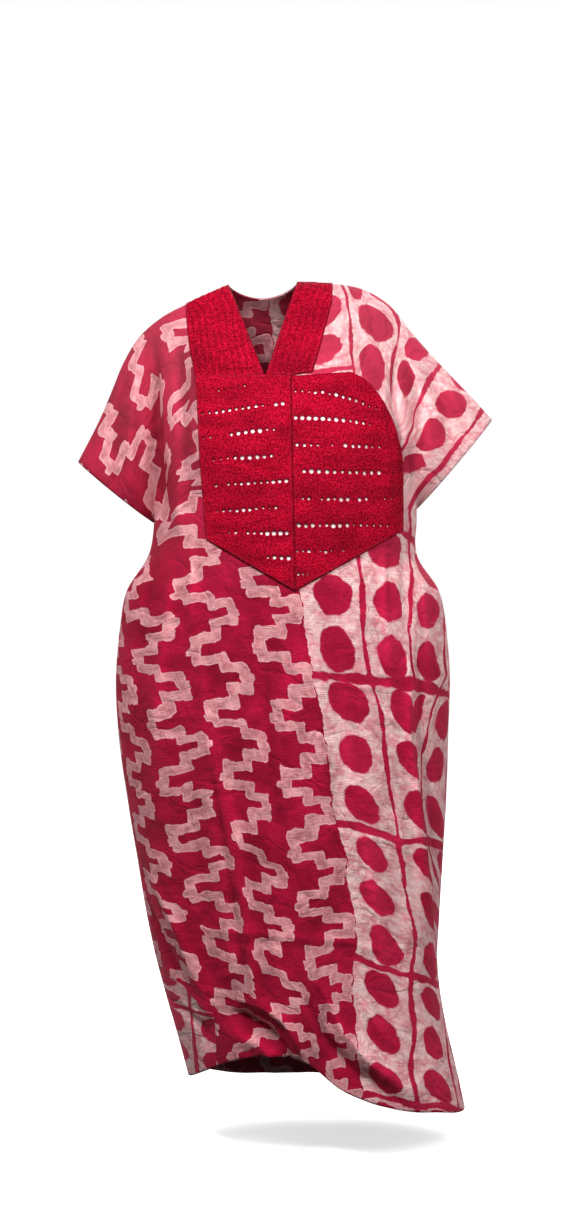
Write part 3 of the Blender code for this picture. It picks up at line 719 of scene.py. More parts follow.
# %% Adire: where each point lies in the print
adire, shader, add = new_material("adire_cotton", Roughness=0.72, IOR=1.46,
    Specular_IOR_Level=0.09, Sheen_Weight=0.01, Sheen_Roughness=0.5)
body_chart = add("Attribute", attribute_name="print_body")
beyond_chart = add("Attribute", attribute_name="print_beyond")
beyond_parts = add("SeparateXYZ", beyond_chart.outputs["Vector"])
over_line = add("Math GREATER_THAN", beyond_parts.outputs[2], 0.0)
printed = add("Mix", over_line, body_chart.outputs["Vector"], beyond_chart.outputs["Vector"],
    data_type="VECTOR")
flat = add("VectorMath MULTIPLY", printed, (1.0, 1.0, 0.0))
# the hand that painted it swayed by 3 mm, and the edges are ragged by 1 mm
slow = add("TexNoise", flat, 24.0, 1.0)
quick = add("TexNoise", flat, 95.0, 2.0)
sway = add("VectorMath SUBTRACT", slow.outputs["Color"], (0.5, 0.5, 0.5))
ragged = add("VectorMath SUBTRACT", quick.outputs["Color"], (0.5, 0.5, 0.5))
drawn = add("VectorMath MULTIPLY_ADD", sway, (0.014, 0.014, 0.0), flat)
drawn = add("VectorMath MULTIPLY_ADD", ragged, (0.0048, 0.0048, 0.0), drawn)
u, v = add("SeparateXYZ", drawn).outputs[:2]

# %% Adire: the stepped zigzag
# a zigzag's column is 101.5 mm wide and its step repeats every 108 mm
ZIGZAG_PITCH, ZIGZAG_START = (0.1015, 0.108), (-0.092, 0.10)
# boxes that join into one step, in shares of the pitch: middle, half size
ZIGZAG_BOXES = (
    ((0.167, -0.012), (0.040, 0.209)), ((0.347, 0.150), (0.220, 0.040)),
    ((0.520, 0.236), (0.040, 0.130)), ((0.662, 0.323), (0.190, 0.040)),
    ((0.800, 0.475), (0.040, 0.195)), ((0.662, 0.622), (0.170, 0.040)),
    ((0.512, 0.716), (0.040, 0.140)), ((0.330, 0.822), (0.204, 0.040)),
    ((0.167, 0.988), (0.040, 0.209)), ((0.120, 0.000), (0.050, 0.030)),
    ((0.120, 1.000), (0.050, 0.030)), ((0.830, 0.500), (0.050, 0.030)))
to_pitch = (1 / ZIGZAG_PITCH[0], 1 / ZIGZAG_PITCH[1], 0.0)
shift = (-ZIGZAG_START[0] * to_pitch[0], -ZIGZAG_START[1] * to_pitch[1], 0.0)
counted = add("VectorMath MULTIPLY_ADD", drawn, to_pitch, shift)
in_step = add("VectorMath FRACTION", counted)
to_line = None
for (middle_a, middle_b), (half_a, half_b) in ZIGZAG_BOXES:
    away = add("VectorMath SUBTRACT", in_step, (middle_a, middle_b, 0))
    away = add("VectorMath ABSOLUTE", away)
    away = add("VectorMath SUBTRACT", away, (half_a, half_b, 0))
    away = add("VectorMath MAXIMUM", away, (0, 0, 0))
    far = add("VectorMath LENGTH", away)
    to_line = far if to_line is None else add("Math MINIMUM", to_line, far)
zigzag = add("MapRange", to_line, 0.044, 0.034)
zigzag_heart = add("MapRange", to_line, 0.036, 0.012)
print(len(ZIGZAG_BOXES), "boxes make a step of the zigzag")

# %% Adire: dots and red lines
# dots of about 62 by 66 mm on a grid of 99.5 by 83.3 mm, lines at every column and third row
DOT_PITCH_U, DOT_PITCH_V, LINE_PITCH_V = 0.0995, 0.25 / 3, 0.25
past_field = add("Math LESS_THAN", u, -FIELD)
mirrored = add("Math SUBTRACT", -FIELD, u)
across_dots = add("Mix", past_field, u, mirrored, data_type="FLOAT")
column = add("Math DIVIDE", across_dots, DOT_PITCH_U)
column_number = add("Math FLOOR", column)
# over the chest the dots of all but the first column stand half a row lower
outer_column = add("Math GREATER_THAN", column_number, 0.5)
over_chest = add("Math LESS_THAN", v, -0.03)
offset = add("Math MULTIPLY", outer_column, over_chest)
row = add("Math DIVIDE", v, DOT_PITCH_V)
row = add("Math MULTIPLY_ADD", offset, 0.5, row)
row_number = add("Math FLOOR", row)
dot_place = add("CombineXYZ", add("Math FRACT", column), add("Math FRACT", row))
lucky = add("TexWhiteNoise", add("CombineXYZ", column_number, row_number))
nudge = add("VectorMath MULTIPLY_ADD", lucky.outputs["Color"], (0.05, 0.06, 0), (-0.525, -0.53, 0))
from_middle = add("VectorMath ADD", dot_place, nudge)
from_middle = add("VectorMath MULTIPLY", from_middle, (DOT_PITCH_U, DOT_PITCH_V, 0))
# lower down the dots lean and get longer
lean = add("MapRange", v, 0.25, 0.62, 0.0, 0.24)
middle_parts = add("SeparateXYZ", from_middle)
leaned = add("Math MULTIPLY", middle_parts.outputs[1], lean)
leaned_u = add("Math SUBTRACT", middle_parts.outputs[0], leaned)
# on the sleeve they are slimmer, and over the chest a little taller
on_sleeve = add("Math GREATER_THAN", across_dots, 0.21)
slimmer = add("Math MULTIPLY", on_sleeve, over_chest)
wider = add("MapRange", v, 0.10, 0.38, 1 / 0.0328, 1 / 0.0292)
narrow_by = add("Math MULTIPLY_ADD", slimmer, 9.0, wider)
taller_by = add("Math MULTIPLY_ADD", offset, -3.0, 1 / 0.0330)
dot_reach = add("VectorMath MULTIPLY", add("CombineXYZ", leaned_u, middle_parts.outputs[1]),
    add("CombineXYZ", narrow_by, taller_by))
dot_reach = add("VectorMath LENGTH", dot_reach)
dot_reach = add("Math MULTIPLY_ADD", lucky, 0.10, dot_reach)
dot = add("MapRange", dot_reach, 1.08, 1.00)
# the lines were drawn along a rule, so they sway less than the rest
ruled = add("VectorMath MULTIPLY_ADD", sway, (0.005, 0.005, 0.0), flat)
ruled = add("VectorMath MULTIPLY_ADD", ragged, (0.0034, 0.0034, 0.0), ruled)
ruled_u, ruled_v = add("SeparateXYZ", ruled).outputs[:2]
ruled_mirrored = add("Math SUBTRACT", -FIELD, ruled_u)
ruled_u = add("Mix", past_field, ruled_u, ruled_mirrored, data_type="FLOAT")
ruled_column = add("Math DIVIDE", ruled_u, DOT_PITCH_U)
line_column = add("Math MAXIMUM", add("Math ROUND", ruled_column), 1.0)
to_upright = add("Math SUBTRACT", ruled_column, line_column)
to_upright = add("Math MULTIPLY", add("Math ABSOLUTE", to_upright), DOT_PITCH_U)
third = add("Math DIVIDE", ruled_v, LINE_PITCH_V)
to_level = add("Math SUBTRACT", third, add("Math ROUND", third))
to_level = add("Math MULTIPLY", add("Math ABSOLUTE", to_level), LINE_PITCH_V)
to_level = add("Math MULTIPLY_ADD", offset, 0.05, to_level)
# the level lines were gone over twice, and are half as wide again; the first one
# below the chest is more than twice as wide
first_level = add("Math COMPARE", v, LINE_PITCH_V, 0.08)
level_share = add("Math MULTIPLY_ADD", first_level, -0.22, 0.64)
to_level = add("Math MULTIPLY", to_level, level_share)
to_red = add("Math SMOOTH_MIN", to_upright, to_level, 0.006)
brush = add("TexNoise", flat, 14.0, 2.0)
brush_width = add("MapRange", brush, 0.30, 0.62, 0.0020, 0.0054)
red_line = add("Math SUBTRACT", to_red, brush_width)
red_line = add("MapRange", red_line, 0.0006, -0.0006)
red_on_pale = add("Math MAXIMUM", dot, red_line)

# %% Adire: cloudy dye, veins and the two fields
clouds = add("TexNoise", flat, 11.0, 4.0, 0.6)
cloudy = add("MapRange", clouds, 0.32, 0.70)
raspberry = add("Mix", cloudy, colour("#94042A"), colour("#BE0E3E"))
stains = add("TexNoise", flat, 42.0, 3.0, 0.65)
stains = add("Math MULTIPLY_ADD", quick, 0.6, stains)
stained = add("MapRange", stains, 0.60, 0.96)
pale_line = add("Mix", stained, colour("#CC7A82"), colour("#ECA4A9"))
pale_line = add("Mix", zigzag_heart, colour("#F7B2B8"), pale_line)
pale_ground = add("Mix", stained, colour("#EC9AA2"), colour("#FFD4D3"))
crooked = add("VectorMath MULTIPLY_ADD", sway, (0.018, 0.018, 0), flat)
veins = None
for scale, width in ((24.0, 0.046), (52.0, 0.055)):
    cracks = add("TexVoronoi", crooked, scale, feature="DISTANCE_TO_EDGE")
    thin = add("MapRange", cracks, width, 0.0)
    veins = thin if veins is None else add("Math MAXIMUM", thin, veins)
veins = add("Math MULTIPLY", veins, add("MapRange", clouds, 0.38, 0.58, 0.08, 0.62))
pale_ground = add("Mix", veins, pale_ground, colour("#D25A70"))
zigzag_field = add("Mix", zigzag, raspberry, pale_line)
brighter = add("Mix", cloudy, colour("#AE0A36"), colour("#D01E4C"))
dots_field = add("Mix", red_on_pale, pale_ground, brighter)
on_dots = add("Math GREATER_THAN", u, 0.0)
on_dots = add("Math MAXIMUM", on_dots, past_field)
print_colour = add("Mix", on_dots, zigzag_field, dots_field)

# %% Adire: threads
# plain weave; its 0.4 mm threads are drawn 1.1 mm apart so that they show at all
THREAD = 0.0011
threads = add("VectorMath MULTIPLY", flat, (1 / THREAD, 1 / THREAD, 0))
slubs = []
for stretch in ((1.0, 0.05, 0.0), (0.05, 1.0, 0.0)):
    drawn_out = add("VectorMath MULTIPLY", threads, stretch)
    slubs.append(add("TexNoise", drawn_out, 1.0, 1.0))
weave = add("Math ADD", slubs[0], slubs[1])
thread_shade = add("MapRange", weave, 0.7, 1.3, 0.90, 1.08)
shaded = add("Mix", 1.0, print_colour, thread_shade, blend_type="MULTIPLY")
# painted highlight: higher up, towards the shoulders, the colour is mixed towards a pale pink, a
# sheen where the cloth faces the light
height_on_robe = add("SeparateXYZ", add("TexCoord").outputs["Object"]).outputs[2]
painted_top_sheen = add("MapRange", height_on_robe, -0.50, -0.05, 0.0, 0.058)
shaded = add("Mix", painted_top_sheen, shaded, colour("#F0B4BE"))
# painted shade and light: the hollows of the folds are darkened and their crests lightened
hollow = add("SeparateXYZ", body_chart.outputs["Vector"]).outputs[2]
painted_fold_shade = add("MapRange", hollow, -1.0, 1.0, 1.12, 0.72)
shaded = add("Mix", 1.0, shaded, painted_fold_shade, blend_type="MULTIPLY")
creased = add("TexNoise", flat, 55.0, 3.0, 0.55)
# starched cotton keeps thin, sharp creases: the zero lines of a slow noise
sharp = add("TexNoise", crooked, 15.0, 2.0, Distortion=0.6)
sharp = add("Math SUBTRACT", sharp, 0.5)
sharp = add("Math MINIMUM", add("Math ABSOLUTE", sharp), 0.10)
height = add("Math MULTIPLY_ADD", creased, 1.6, weave)
height = add("Math MULTIPLY_ADD", sharp, 12.0, height)
cover(shader, shaded, height, 0.8, 0.0016)

# %% [markdown]
# ### Aso-oke
#
# Aso-oke is woven on a narrow strip loom from thick, uneven yarn. Each crossing is a
# nub of 2 to 3 mm that catches light on top and is dark at its foot, and here and
# there the yarn is spun slack or tight. The nubs are too small and too many to
# model, so height and colour come from the same pattern, and the colour carries
# painted light: lighter on the nubs' tops, darker at their feet. A third number in its
# flat map carries painted shade, along the cut edges, in the grooves, in the closed
# pits and round the holes.

# %% Aso-oke
aso_oke, shader, add = new_material("aso_oke", Roughness=0.85, IOR=1.5, Specular_IOR_Level=0.04)
woven_chart = add("Attribute", attribute_name="weave_chart")
painted_shade = add("SeparateXYZ", woven_chart.outputs["Vector"]).outputs[2]
flat = add("VectorMath MULTIPLY", woven_chart.outputs["Vector"], (1.0, 1.0, 0.0))
nubs = add("TexVoronoi", flat, 430.0, Randomness=0.95)
specks = add("TexNoise", flat, 300.0, 2.0, 0.75)
upright = add("VectorMath MULTIPLY", flat, (1.0, 0.22, 0.0))
upright = add("TexNoise", upright, 420.0, 1.0)
level = add("VectorMath MULTIPLY", flat, (0.16, 1.0, 0.0))
level = add("TexNoise", level, 330.0, 1.0)
yarn = add("Math MULTIPLY_ADD", nubs, -0.45, 0.52)
yarn = add("Math MULTIPLY_ADD", specks, 0.95, yarn)
yarn = add("Math MULTIPLY_ADD", upright, 0.20, yarn)
yarn = add("Math MULTIPLY_ADD", level, 0.25, yarn)
# painted light on the nubs: the colour follows their height, lighter on top and darker at the foot
on_top = add("MapRange", yarn, 0.69, 1.21)
crimson = add("ValToRGB", on_top)
stops = crimson.color_ramp.elements
stops[0].color, stops[1].color = colour("#5E000C"), colour("#CA1238")
stops.new(0.34).color = colour("#84001A")
stops.new(0.68).color = colour("#A80222")
slack = add("TexNoise", add("VectorMath MULTIPLY", flat, (0.6, 1.4, 0.0)), 20.0, 3.0)
slack_shade = add("MapRange", slack, 0.30, 0.68, 0.70, 1.08)
shaded = add("Mix", 1.0, crimson, slack_shade, blend_type="MULTIPLY")
# painted shade from the flat map's third number, towards a dark crimson
shaded = add("Mix", painted_shade, shaded, colour("#3C000E"))
cover(shader, shaded, yarn, 0.4, 0.0016)

# %% [markdown]
# ### Plain cottons and thread
#
# The backing behind the eyelets is bleached white calico. The pockets are plain
# cotton, piece dyed to match, so their colour is even but for a little slubbing.
# The thread is twisted cotton that shines slightly along its back.

# %% Plain cottons and thread
def plain_cotton(name, dark, light, chart):
    """Plain weave of slubby thread between two shades."""
    material, shader, add = new_material(name, Roughness=0.85, IOR=1.46, Specular_IOR_Level=0.25)
    if chart:
        flat = add("Attribute", attribute_name="weave_chart").outputs["Vector"]
    else:
        flat = add("TexCoord").outputs["Object"]
    height = None
    for stretch in ((1.0, 0.06, 0.06), (0.06, 1.0, 1.0)):
        thread = add("VectorMath MULTIPLY", flat, stretch)
        thread = add("TexNoise", thread, 900.0, 1.0, noise_dimensions="3D")
        height = thread if height is None else add("Math ADD", height, thread)
    shade = add("MapRange", height, 0.7, 1.3)
    both = add("Mix", shade, colour(dark), colour(light))
    cover(shader, both, height, 0.4, 0.0008)
    return material


white_cotton = plain_cotton("white_cotton", "#F4E4E2", "#FFFAF8", True)
pocket_cotton = plain_cotton("pocket_cotton", "#860A2E", "#A8123E", False)


def twisted_thread(name, dark, light):
    """Cotton thread: two shades that wind round it every 0.5 mm."""
    material, shader, add = new_material(name, Roughness=0.5, IOR=1.5, Specular_IOR_Level=0.4)
    place_in = add("TexCoord").outputs["Object"]
    twist = add("TexWave", place_in, 320.0, 1.5, bands_direction="DIAGONAL")
    both = add("Mix", twist.outputs["Fac"], colour(dark), colour(light))
    cover(shader, both, twist.outputs["Fac"], 0.4, 0.0002)
    return material


crimson_thread = twisted_thread("crimson_thread", "#7A0220", "#C2183F")
raspberry_thread = twisted_thread("raspberry_thread", "#96103C", "#B42C54")

# %% [markdown]
# ## Front and back
#
# Each panel is one closed sheet with its print charted on it. The hem and the cuffs
# are turned under by 15 mm, so the cloth is double there.

# %% Where the cloth is turned under, and where it lies in a hollow
TURNED = 0.015
BLUR_ROUNDS, DEEP = 30, 0.0032       # how wide a hollow is looked for, and a deep one


def to_open_edge(points):
    """Distance along the cloth from the hem and from the cuffs."""
    across, down = unrolled(points)
    rows = np.arange(len(points))[:, None]
    cuff = np.minimum(across - across[:, :1], across[:, -1:] - across)
    return np.minimum(np.where(rows <= SLEEVE_ROWS, cuff, 1.0), down[-1:] - down)


def hollows(points, normals, flat_points):
    """How deep each point lies among its folds: +1 in a hollow, -1 on a crest."""
    lift = ((points - flat_points) * normals).sum(axis=2)
    around = lift
    for _ in range(BLUR_ROUNDS):
        wide = np.pad(around, 1, mode="edge")
        around = (around + wide[:-2, 1:-1] + wide[2:, 1:-1] + wide[1:-1, :-2] + wide[1:-1, 2:]) / 5
    return np.clip((around - lift) / DEEP, -1, 1)

# %% Front and back
panels, grids = {}, {}
for side in ("front", "back"):
    points = grid_points(side)
    normals = grid_normals(points, side)
    faces = grid_faces(points.shape[0], points.shape[1], side == "back")
    outer = points.reshape(-1, 3)
    doubled = smooth_step(TURNED + 0.0015, TURNED - 0.0025, to_open_edge(points))
    inner = (points - CLOTH * (1 + doubled)[..., None] * normals).reshape(-1, 3)
    # the depth among the folds rides in the print chart's third number, and the adire material
    # paints shade from it
    hollow = hollows(points, normals, grid_points(side, folded=False))
    charted = [(label, chart.reshape(-1, 3)) for label, chart in
               zip(("print_body", "print_beyond"), charts(side, points, hollow))]
    panels[side] = closed_sheet(side + "_panel", outer, inner, faces, adire, charted)
    grids[side] = (points, normals)
    print(side, len(panels[side].data.vertices), "points", outer.min(axis=0).round(4))

# %% [markdown]
# ## Layers on the front
#
# The yoke, its white backing and the neck bands are laid on the front and sewn
# down. Each is cut to an outline, and its points are lifted off the surface of the
# panel along its normal. So that a layer can be fine, it has its own points, and
# the surface function says where they lie.

# %% Where a point of a layer lies
HALVINGS = 26             # enough to find a column to a millionth


def place(side, x, z):
    """Row and column, with fractions, of points x, z on a panel's grid."""
    low_c, high_c = np.zeros_like(x), np.ones_like(x)
    for _ in range(HALVINGS):
        c = (low_c + high_c) / 2
        top, low = top_edge(side, c), underarm(c)
        run = low - top
        cross = run[:, 0] * (z - top[:, 1]) - run[:, 1] * (x - top[:, 0])
        low_c, high_c = np.where(cross > 0, c, low_c), np.where(cross > 0, high_c, c)
    top, low = top_edge(side, c), underarm(c)
    run = low - top
    share = ((x - top[:, 0]) * run[:, 0] + (z - top[:, 1]) * run[:, 1]) / (run ** 2).sum(axis=1)
    row = np.clip(share, 0, 1) ** (1 / 1.3) * SLEEVE_ROWS
    right, left = side_x(z)
    samples = np.linspace(0, 1, 2001)
    c_skirt = np.interp((x - right) / (left - right), column_share(samples), samples)
    z0 = underarm(c_skirt)[:, 1]
    hem = curve(HEM[:, 0], HEM[:, SIDE_COLUMN[side]], column_share(c_skirt))
    below = share > 1
    row = np.where(below, SLEEVE_ROWS + (z - z0) / (hem - z0) * SKIRT_ROWS, row)
    return row, np.where(below, c_skirt, c) * COLUMNS


def on_panel(side, x, z):
    """Points of a panel's outer face and their outward directions."""
    row, column = place(side, x, z)
    points, normals = grids[side]
    r = np.clip(row.astype(int), 0, points.shape[0] - 2)
    c = np.clip(column.astype(int), 0, points.shape[1] - 2)
    fr, fc = (row - r)[:, None], (column - c)[:, None]
    made = []
    for grid in (points, normals):
        made.append(grid[r, c] * (1 - fr) * (1 - fc) + grid[r + 1, c] * fr * (1 - fc)
            + grid[r, c + 1] * (1 - fr) * fc + grid[r + 1, c + 1] * fr * fc)
    return made[0], made[1] / np.linalg.norm(made[1], axis=1, keepdims=True)

# %% Cut a layer to its outline
def inside(outline, x, z):
    """Which points lie inside a closed outline."""
    found = np.zeros(x.shape, bool)
    for (x0, z0), (x1, z1) in zip(outline, np.roll(outline, -1, axis=0)):
        if z0 != z1:
            found ^= ((z0 > z) != (z1 > z)) & (x < (x1 - x0) * (z - z0) / (z1 - z0) + x0)
    return found


def edge_distance(outline, x, z, closed=True):
    """Distance of points from an outline."""
    nearest = np.full(x.shape, 1e9)
    ends = np.roll(outline, -1, axis=0)
    for (x0, z0), (x1, z1) in list(zip(outline, ends))[:None if closed else -1]:
        dx, dz = x1 - x0, z1 - z0
        t = np.clip(((x - x0) * dx + (z - z0) * dz) / max(dx * dx + dz * dz, 1e-12), 0, 1)
        nearest = np.minimum(nearest, np.hypot(x - x0 - t * dx, z - z0 - t * dz))
    return nearest


def resampled(outline, pitch):
    """A closed outline with points about a pitch apart, its corners kept."""
    made = []
    for a, b in zip(outline, np.roll(outline, -1, axis=0)):
        count = max(int(round(np.hypot(*(b - a)) / pitch)), 1)
        made += [a + (b - a) * k / count for k in range(count)]
    return np.array(made)


# points stand round a hole in two rings, and the others keep clear of it
HOLE_RINGS, HOLE_CLEAR = (0.0007, 0.0016), 0.0023


def cut_layer(outline, pitch, holes=()):
    """Points and triangles of a flat cut, fine and even, with round holes in it."""
    outline = resampled(np.array(outline), pitch)
    low, high = outline.min(axis=0), outline.max(axis=0)
    rows = np.arange(low[1], high[1], pitch * 0.866)
    xs = np.arange(low[0], high[0], pitch)
    x, z = np.meshgrid(xs, rows)
    x = x + (np.arange(len(rows)) % 2)[:, None] * pitch / 2
    x, z = x.ravel(), z.ravel()
    kept = inside(outline, x, z) & (edge_distance(outline, x, z) > 0.55 * pitch)
    for hx, hz, radius in holes:
        kept &= np.hypot(x - hx, z - hz) > radius + HOLE_CLEAR
    points = [np.stack((x, z), axis=1)[kept]]
    edges, count = [], int(kept.sum())
    loops = [outline]
    for hx, hz, radius in holes:
        turn = np.linspace(0, 2 * np.pi, 13)[:-1]
        ring = np.stack((np.cos(turn), np.sin(turn)), axis=1)
        loops.append(np.array([hx, hz]) + radius * ring)
        points += [np.array([hx, hz]) + (radius + more) * ring for more in HOLE_RINGS]
        count += len(HOLE_RINGS) * len(ring)
    for loop in loops:
        edges += [(count + k, count + (k + 1) % len(loop)) for k in range(len(loop))]
        points.append(loop)
        count += len(loop)
    flat = np.concatenate(points)
    cut = delaunay_2d_cdt([tuple(p) for p in flat * 1000], edges, [], 0, 1e-5, False)
    corners = np.array([tuple(v) for v in cut[0]]) / 1000
    triangles = np.array([tuple(f) for f in cut[2]])
    cx, cz = corners[triangles].mean(axis=1).T
    kept = inside(outline, cx, cz)
    for hx, hz, radius in holes:
        kept &= np.hypot(cx - hx, cz - hz) > radius * 0.97
    triangles = triangles[kept]
    used, renumbered = np.unique(triangles, return_inverse=True)
    return corners[used], renumbered.reshape(triangles.shape), outline


# painted shade on a layer: how far it reaches inwards from the edge and round a hole or a
# pit, and the relief below which a groove is shaded
DARK_EDGE, DARK_ROUND, BRIGHT_FROM = 0.004, 0.0024, 0.0006


def layer(name, side, outline, gap, thickness, material, pitch=0.0022, holes=(), pits=(),
        relief=None, groove=0.14, rounding=0.0022):
    """A piece that lies on a panel, with a rounded edge and a relief on its face."""
    corners, triangles, outline = cut_layer(outline, pitch, holes)
    x, z = corners.T
    points, normals = on_panel(side, x, z)
    near = np.clip(edge_distance(outline, x, z) / rounding, 0, 1)
    for hx, hz, radius in holes:
        reach = np.hypot(x - hx, z - hz) - radius
        near = np.minimum(near, np.clip(reach / 0.0020, 0, 1))
    rise = thickness * (0.35 + 0.65 * np.sqrt(1 - (1 - near) ** 2))
    # painted shade along the cut edge, where the layer rounds down to the panel
    dark = 0.35 * (1 - np.clip(edge_distance(outline, x, z) / DARK_EDGE, 0, 1))
    if relief is not None:
        raised = relief(x, z)
        rise = rise + raised * near
        # painted shade in the grooves of the relief
        dark = np.maximum(dark, groove * np.clip(1 - raised / BRIGHT_FROM, 0, 1))
    # a closed pit is only a spot of painted shade, with no hole in the cloth
    for px, pz in pits:
        reach = np.hypot(x - px, z - pz)
        dark = np.maximum(dark, 0.85 * np.clip(1.25 - reach / DARK_ROUND, 0, 1))
    # painted shadow round each hole, darkest above it, under its upper rim
    for hx, hz, radius in holes:
        reach = np.hypot(x - hx, z - hz) - radius
        over = np.where(z > hz, 0.80, 0.22)
        dark = np.maximum(dark, over * np.clip(1.1 - reach / DARK_ROUND, 0, 1))
    outer = points + (gap + rise)[:, None] * normals
    inner = points + gap * normals
    flip = np.cross(outer[triangles[:, 1]] - outer[triangles[:, 0]],
        outer[triangles[:, 2]] - outer[triangles[:, 0]])
    wrong = (flip * normals[triangles[:, 0]]).sum(axis=1) < 0
    triangles[wrong] = triangles[wrong][:, ::-1]
    # the flat map's third number is the painted shade
    flat_map = np.stack((x, z, np.clip(dark, 0, 1)), axis=1)
    piece = closed_sheet(name, outer, inner, triangles, material, (("weave_chart", flat_map),))
    print(name, len(triangles) * 2, "triangles")
    return piece

# %% Outlines of the yoke and its eyelets
LAYER_GAP, BACKING, YOKE, BAND = 0.0003, 0.0009, 0.0020, 0.0024
YOKE_RIGHT_SIDE = metres(((-111.7, -153.7), (-107.2, -215), (-104.3, -282.4), (-99, -348),
    (-93.7, -412)))
YOKE_LEFT_SIDE = metres(((138.7, -141.2), (156.5, -149), (171, -160.4), (184, -175.6),
    (195.8, -193.8), (207, -217), (216.3, -242.4), (222.5, -264), (225.5, -283.6),
    (225.5, -397.4)))
# in mm: z at the seam and at the outer end, bend of the row, first hole and pitch, and
# the size of each hole: 0 is a closed pit, drawn only as painted shade, 7 is a hole 7 mm across
EYELET_ROWS = {
    "right": (
        (-164.0, -172.0, 1.0, 74.0, 10.6, "10001"),
        (-194.0, -209.3, 1.2, 13.8, 10.6, "5501443344421"),
        (-233.1, -247.8, 1.2, 6.4, 11.2, "0022765640011"),
        (-275.6, -284.0, 1.2, 10.3, 11.5, "003466642110"),
        (-317.0, -323.9, 1.2, 10.3, 10.2, "555333543303"),
        (-358.9, -366.7, 1.2, 17.0, 10.5, "031235643310"),
        (-400.3, -401.4, 1.2, 11.3, 10.3, "577743303100"),
        (-440.6, -438.8, 1.2, 10.2, 10.4, "65520")),
    "left": (
        (-173.6, -201.3, 2.2, 7.3, 10.8, "1114426444311"),
        (-216.0, -228.7, 2.2, 6.5, 10.8, "5677757635410"),
        (-259.4, -263.6, 1.5, 8.8, 10.9, "44220106555220"),
        (-301.0, -305.2, 1.2, 6.6, 12.0, "0576654556660"),
        (-345.2, -346.8, 1.0, 4.3, 10.3, "0230243660540011"),
        (-387.7, -389.3, 1.0, 8.3, 11.0, "66634766132222"),
        (-429.5, -429.5, 1.0, 5.1, 9.2, "224014102"),
        (-467.0, -467.0, 1.0, 4.9, 7.5, "311"))}
# two rows of closed pits on the right band, drawn only as painted shade
BAND_PITS = [(-0.071 + 0.0046 * k, -0.1085 + 0.0011 * k) for k in range(9)]
BAND_PITS += [(-0.066 + 0.0062 * k, -0.1385 + 0.0004 * k) for k in range(8)]


def yoke_seam_x(z):
    share = (z - YOKE_TOP_Z) / (YOKE_FOOT_Z - YOKE_TOP_Z)
    return YOKE_SEAM_X[0] + (YOKE_SEAM_X[1] - YOKE_SEAM_X[0]) * share


def eyelets(half):
    """Open holes as x, z, radius, and closed pits, spots of painted shade, as x, z, of half a
    yoke.
    """
    random = np.random.default_rng(5 if half == "right" else 9)
    holes, pits = [], []
    way = -1.0 if half == "right" else 1.0
    for *ends, bend, first, pitch, sizes in EYELET_ROWS[half]:
        z_seam, z_outer = metres(ends)
        for k, digit in enumerate(sizes):
            x = yoke_seam_x(z_seam) + way * (first + pitch * k) / 1000 + random.normal(0, 0.0004)
            z = z_seam + (z_outer - z_seam) * (k / (len(sizes) - 1)) ** bend
            z = z + random.normal(0, 0.0004)
            if digit == "0":
                pits.append((x, z))
            else:
                holes.append((x, z, 0.00070 + 0.00041 * int(digit) + random.uniform(0, 0.0002)))
    return holes, pits

# %% Relief of the yoke and the bands
def puffs(half):
    """Between two rows of eyelets the cloth puffs out by 0.8 mm."""
    slope, first_z = (-0.085, -0.1940) if half == "right" else (0.045, -0.1730)
    pitch, height = 0.0420, 0.0008

    def relief(x, z):
        low = np.clip((z + 0.42) / 0.22, 0, 1)    # lower down the rows are level
        phase = (z - slope * (x - 0.045) * low - first_z) / pitch
        return height * np.sin(np.pi * phase) ** 2

    return relief


def ribs(edge, height):
    """Ribs that follow the outer edge of a band."""
    pitch = 0.0108

    def relief(x, z):
        far = edge_distance(np.array(edge), x, z, closed=False)
        return height * (0.5 - 0.5 * np.cos(2 * np.pi * far / pitch))

    return relief

# %% Yoke, backing and bands
top_x, foot_x = YOKE_SEAM_X
top_z = YOKE_TOP_Z + 0.0025            # tucked under the feet of the bands
right_half = [(top_x - SEAM, top_z), (YOKE_RIGHT_SIDE[0][0], top_z), *YOKE_RIGHT_SIDE[1:],
    (foot_x - SEAM, YOKE_FOOT_Z)]
left_half = [(top_x + SEAM, YOKE_TOP_Z), *YOKE_LEFT_SIDE, (foot_x + SEAM, YOKE_FOOT_Z)]
whole = [*YOKE_RIGHT_SIDE, (foot_x, YOKE_FOOT_Z), *YOKE_LEFT_SIDE[::-1]]
middle = np.array([0.055, -0.300])
backing_outline = [middle + (np.array(p) - middle) * 0.965 for p in whole]
layers = {"yoke_backing": layer("backing_cloth", "front", backing_outline, LAYER_GAP, BACKING,
    white_cotton, pitch=0.0050)}
yoke_gap = 2 * LAYER_GAP + BACKING
for half, outline in (("right", right_half), ("left", left_half)):
    holes, pits = eyelets(half)
    layers["yoke_" + half] = layer("yoke_half_" + half, "front", outline, yoke_gap, YOKE,
        aso_oke, holes=holes, pits=pits, relief=puffs(half))

tip_x, tip_z = NECK_TIP


def top_line(side, c0, c1, count):
    return [tuple(p) for p in top_edge(side, np.linspace(c0, c1, count))]


def shoulder_column(side, x):
    c = np.linspace(0, 1, 3001)
    return float(np.interp(x, top_edge(side, c)[:, 0], c))

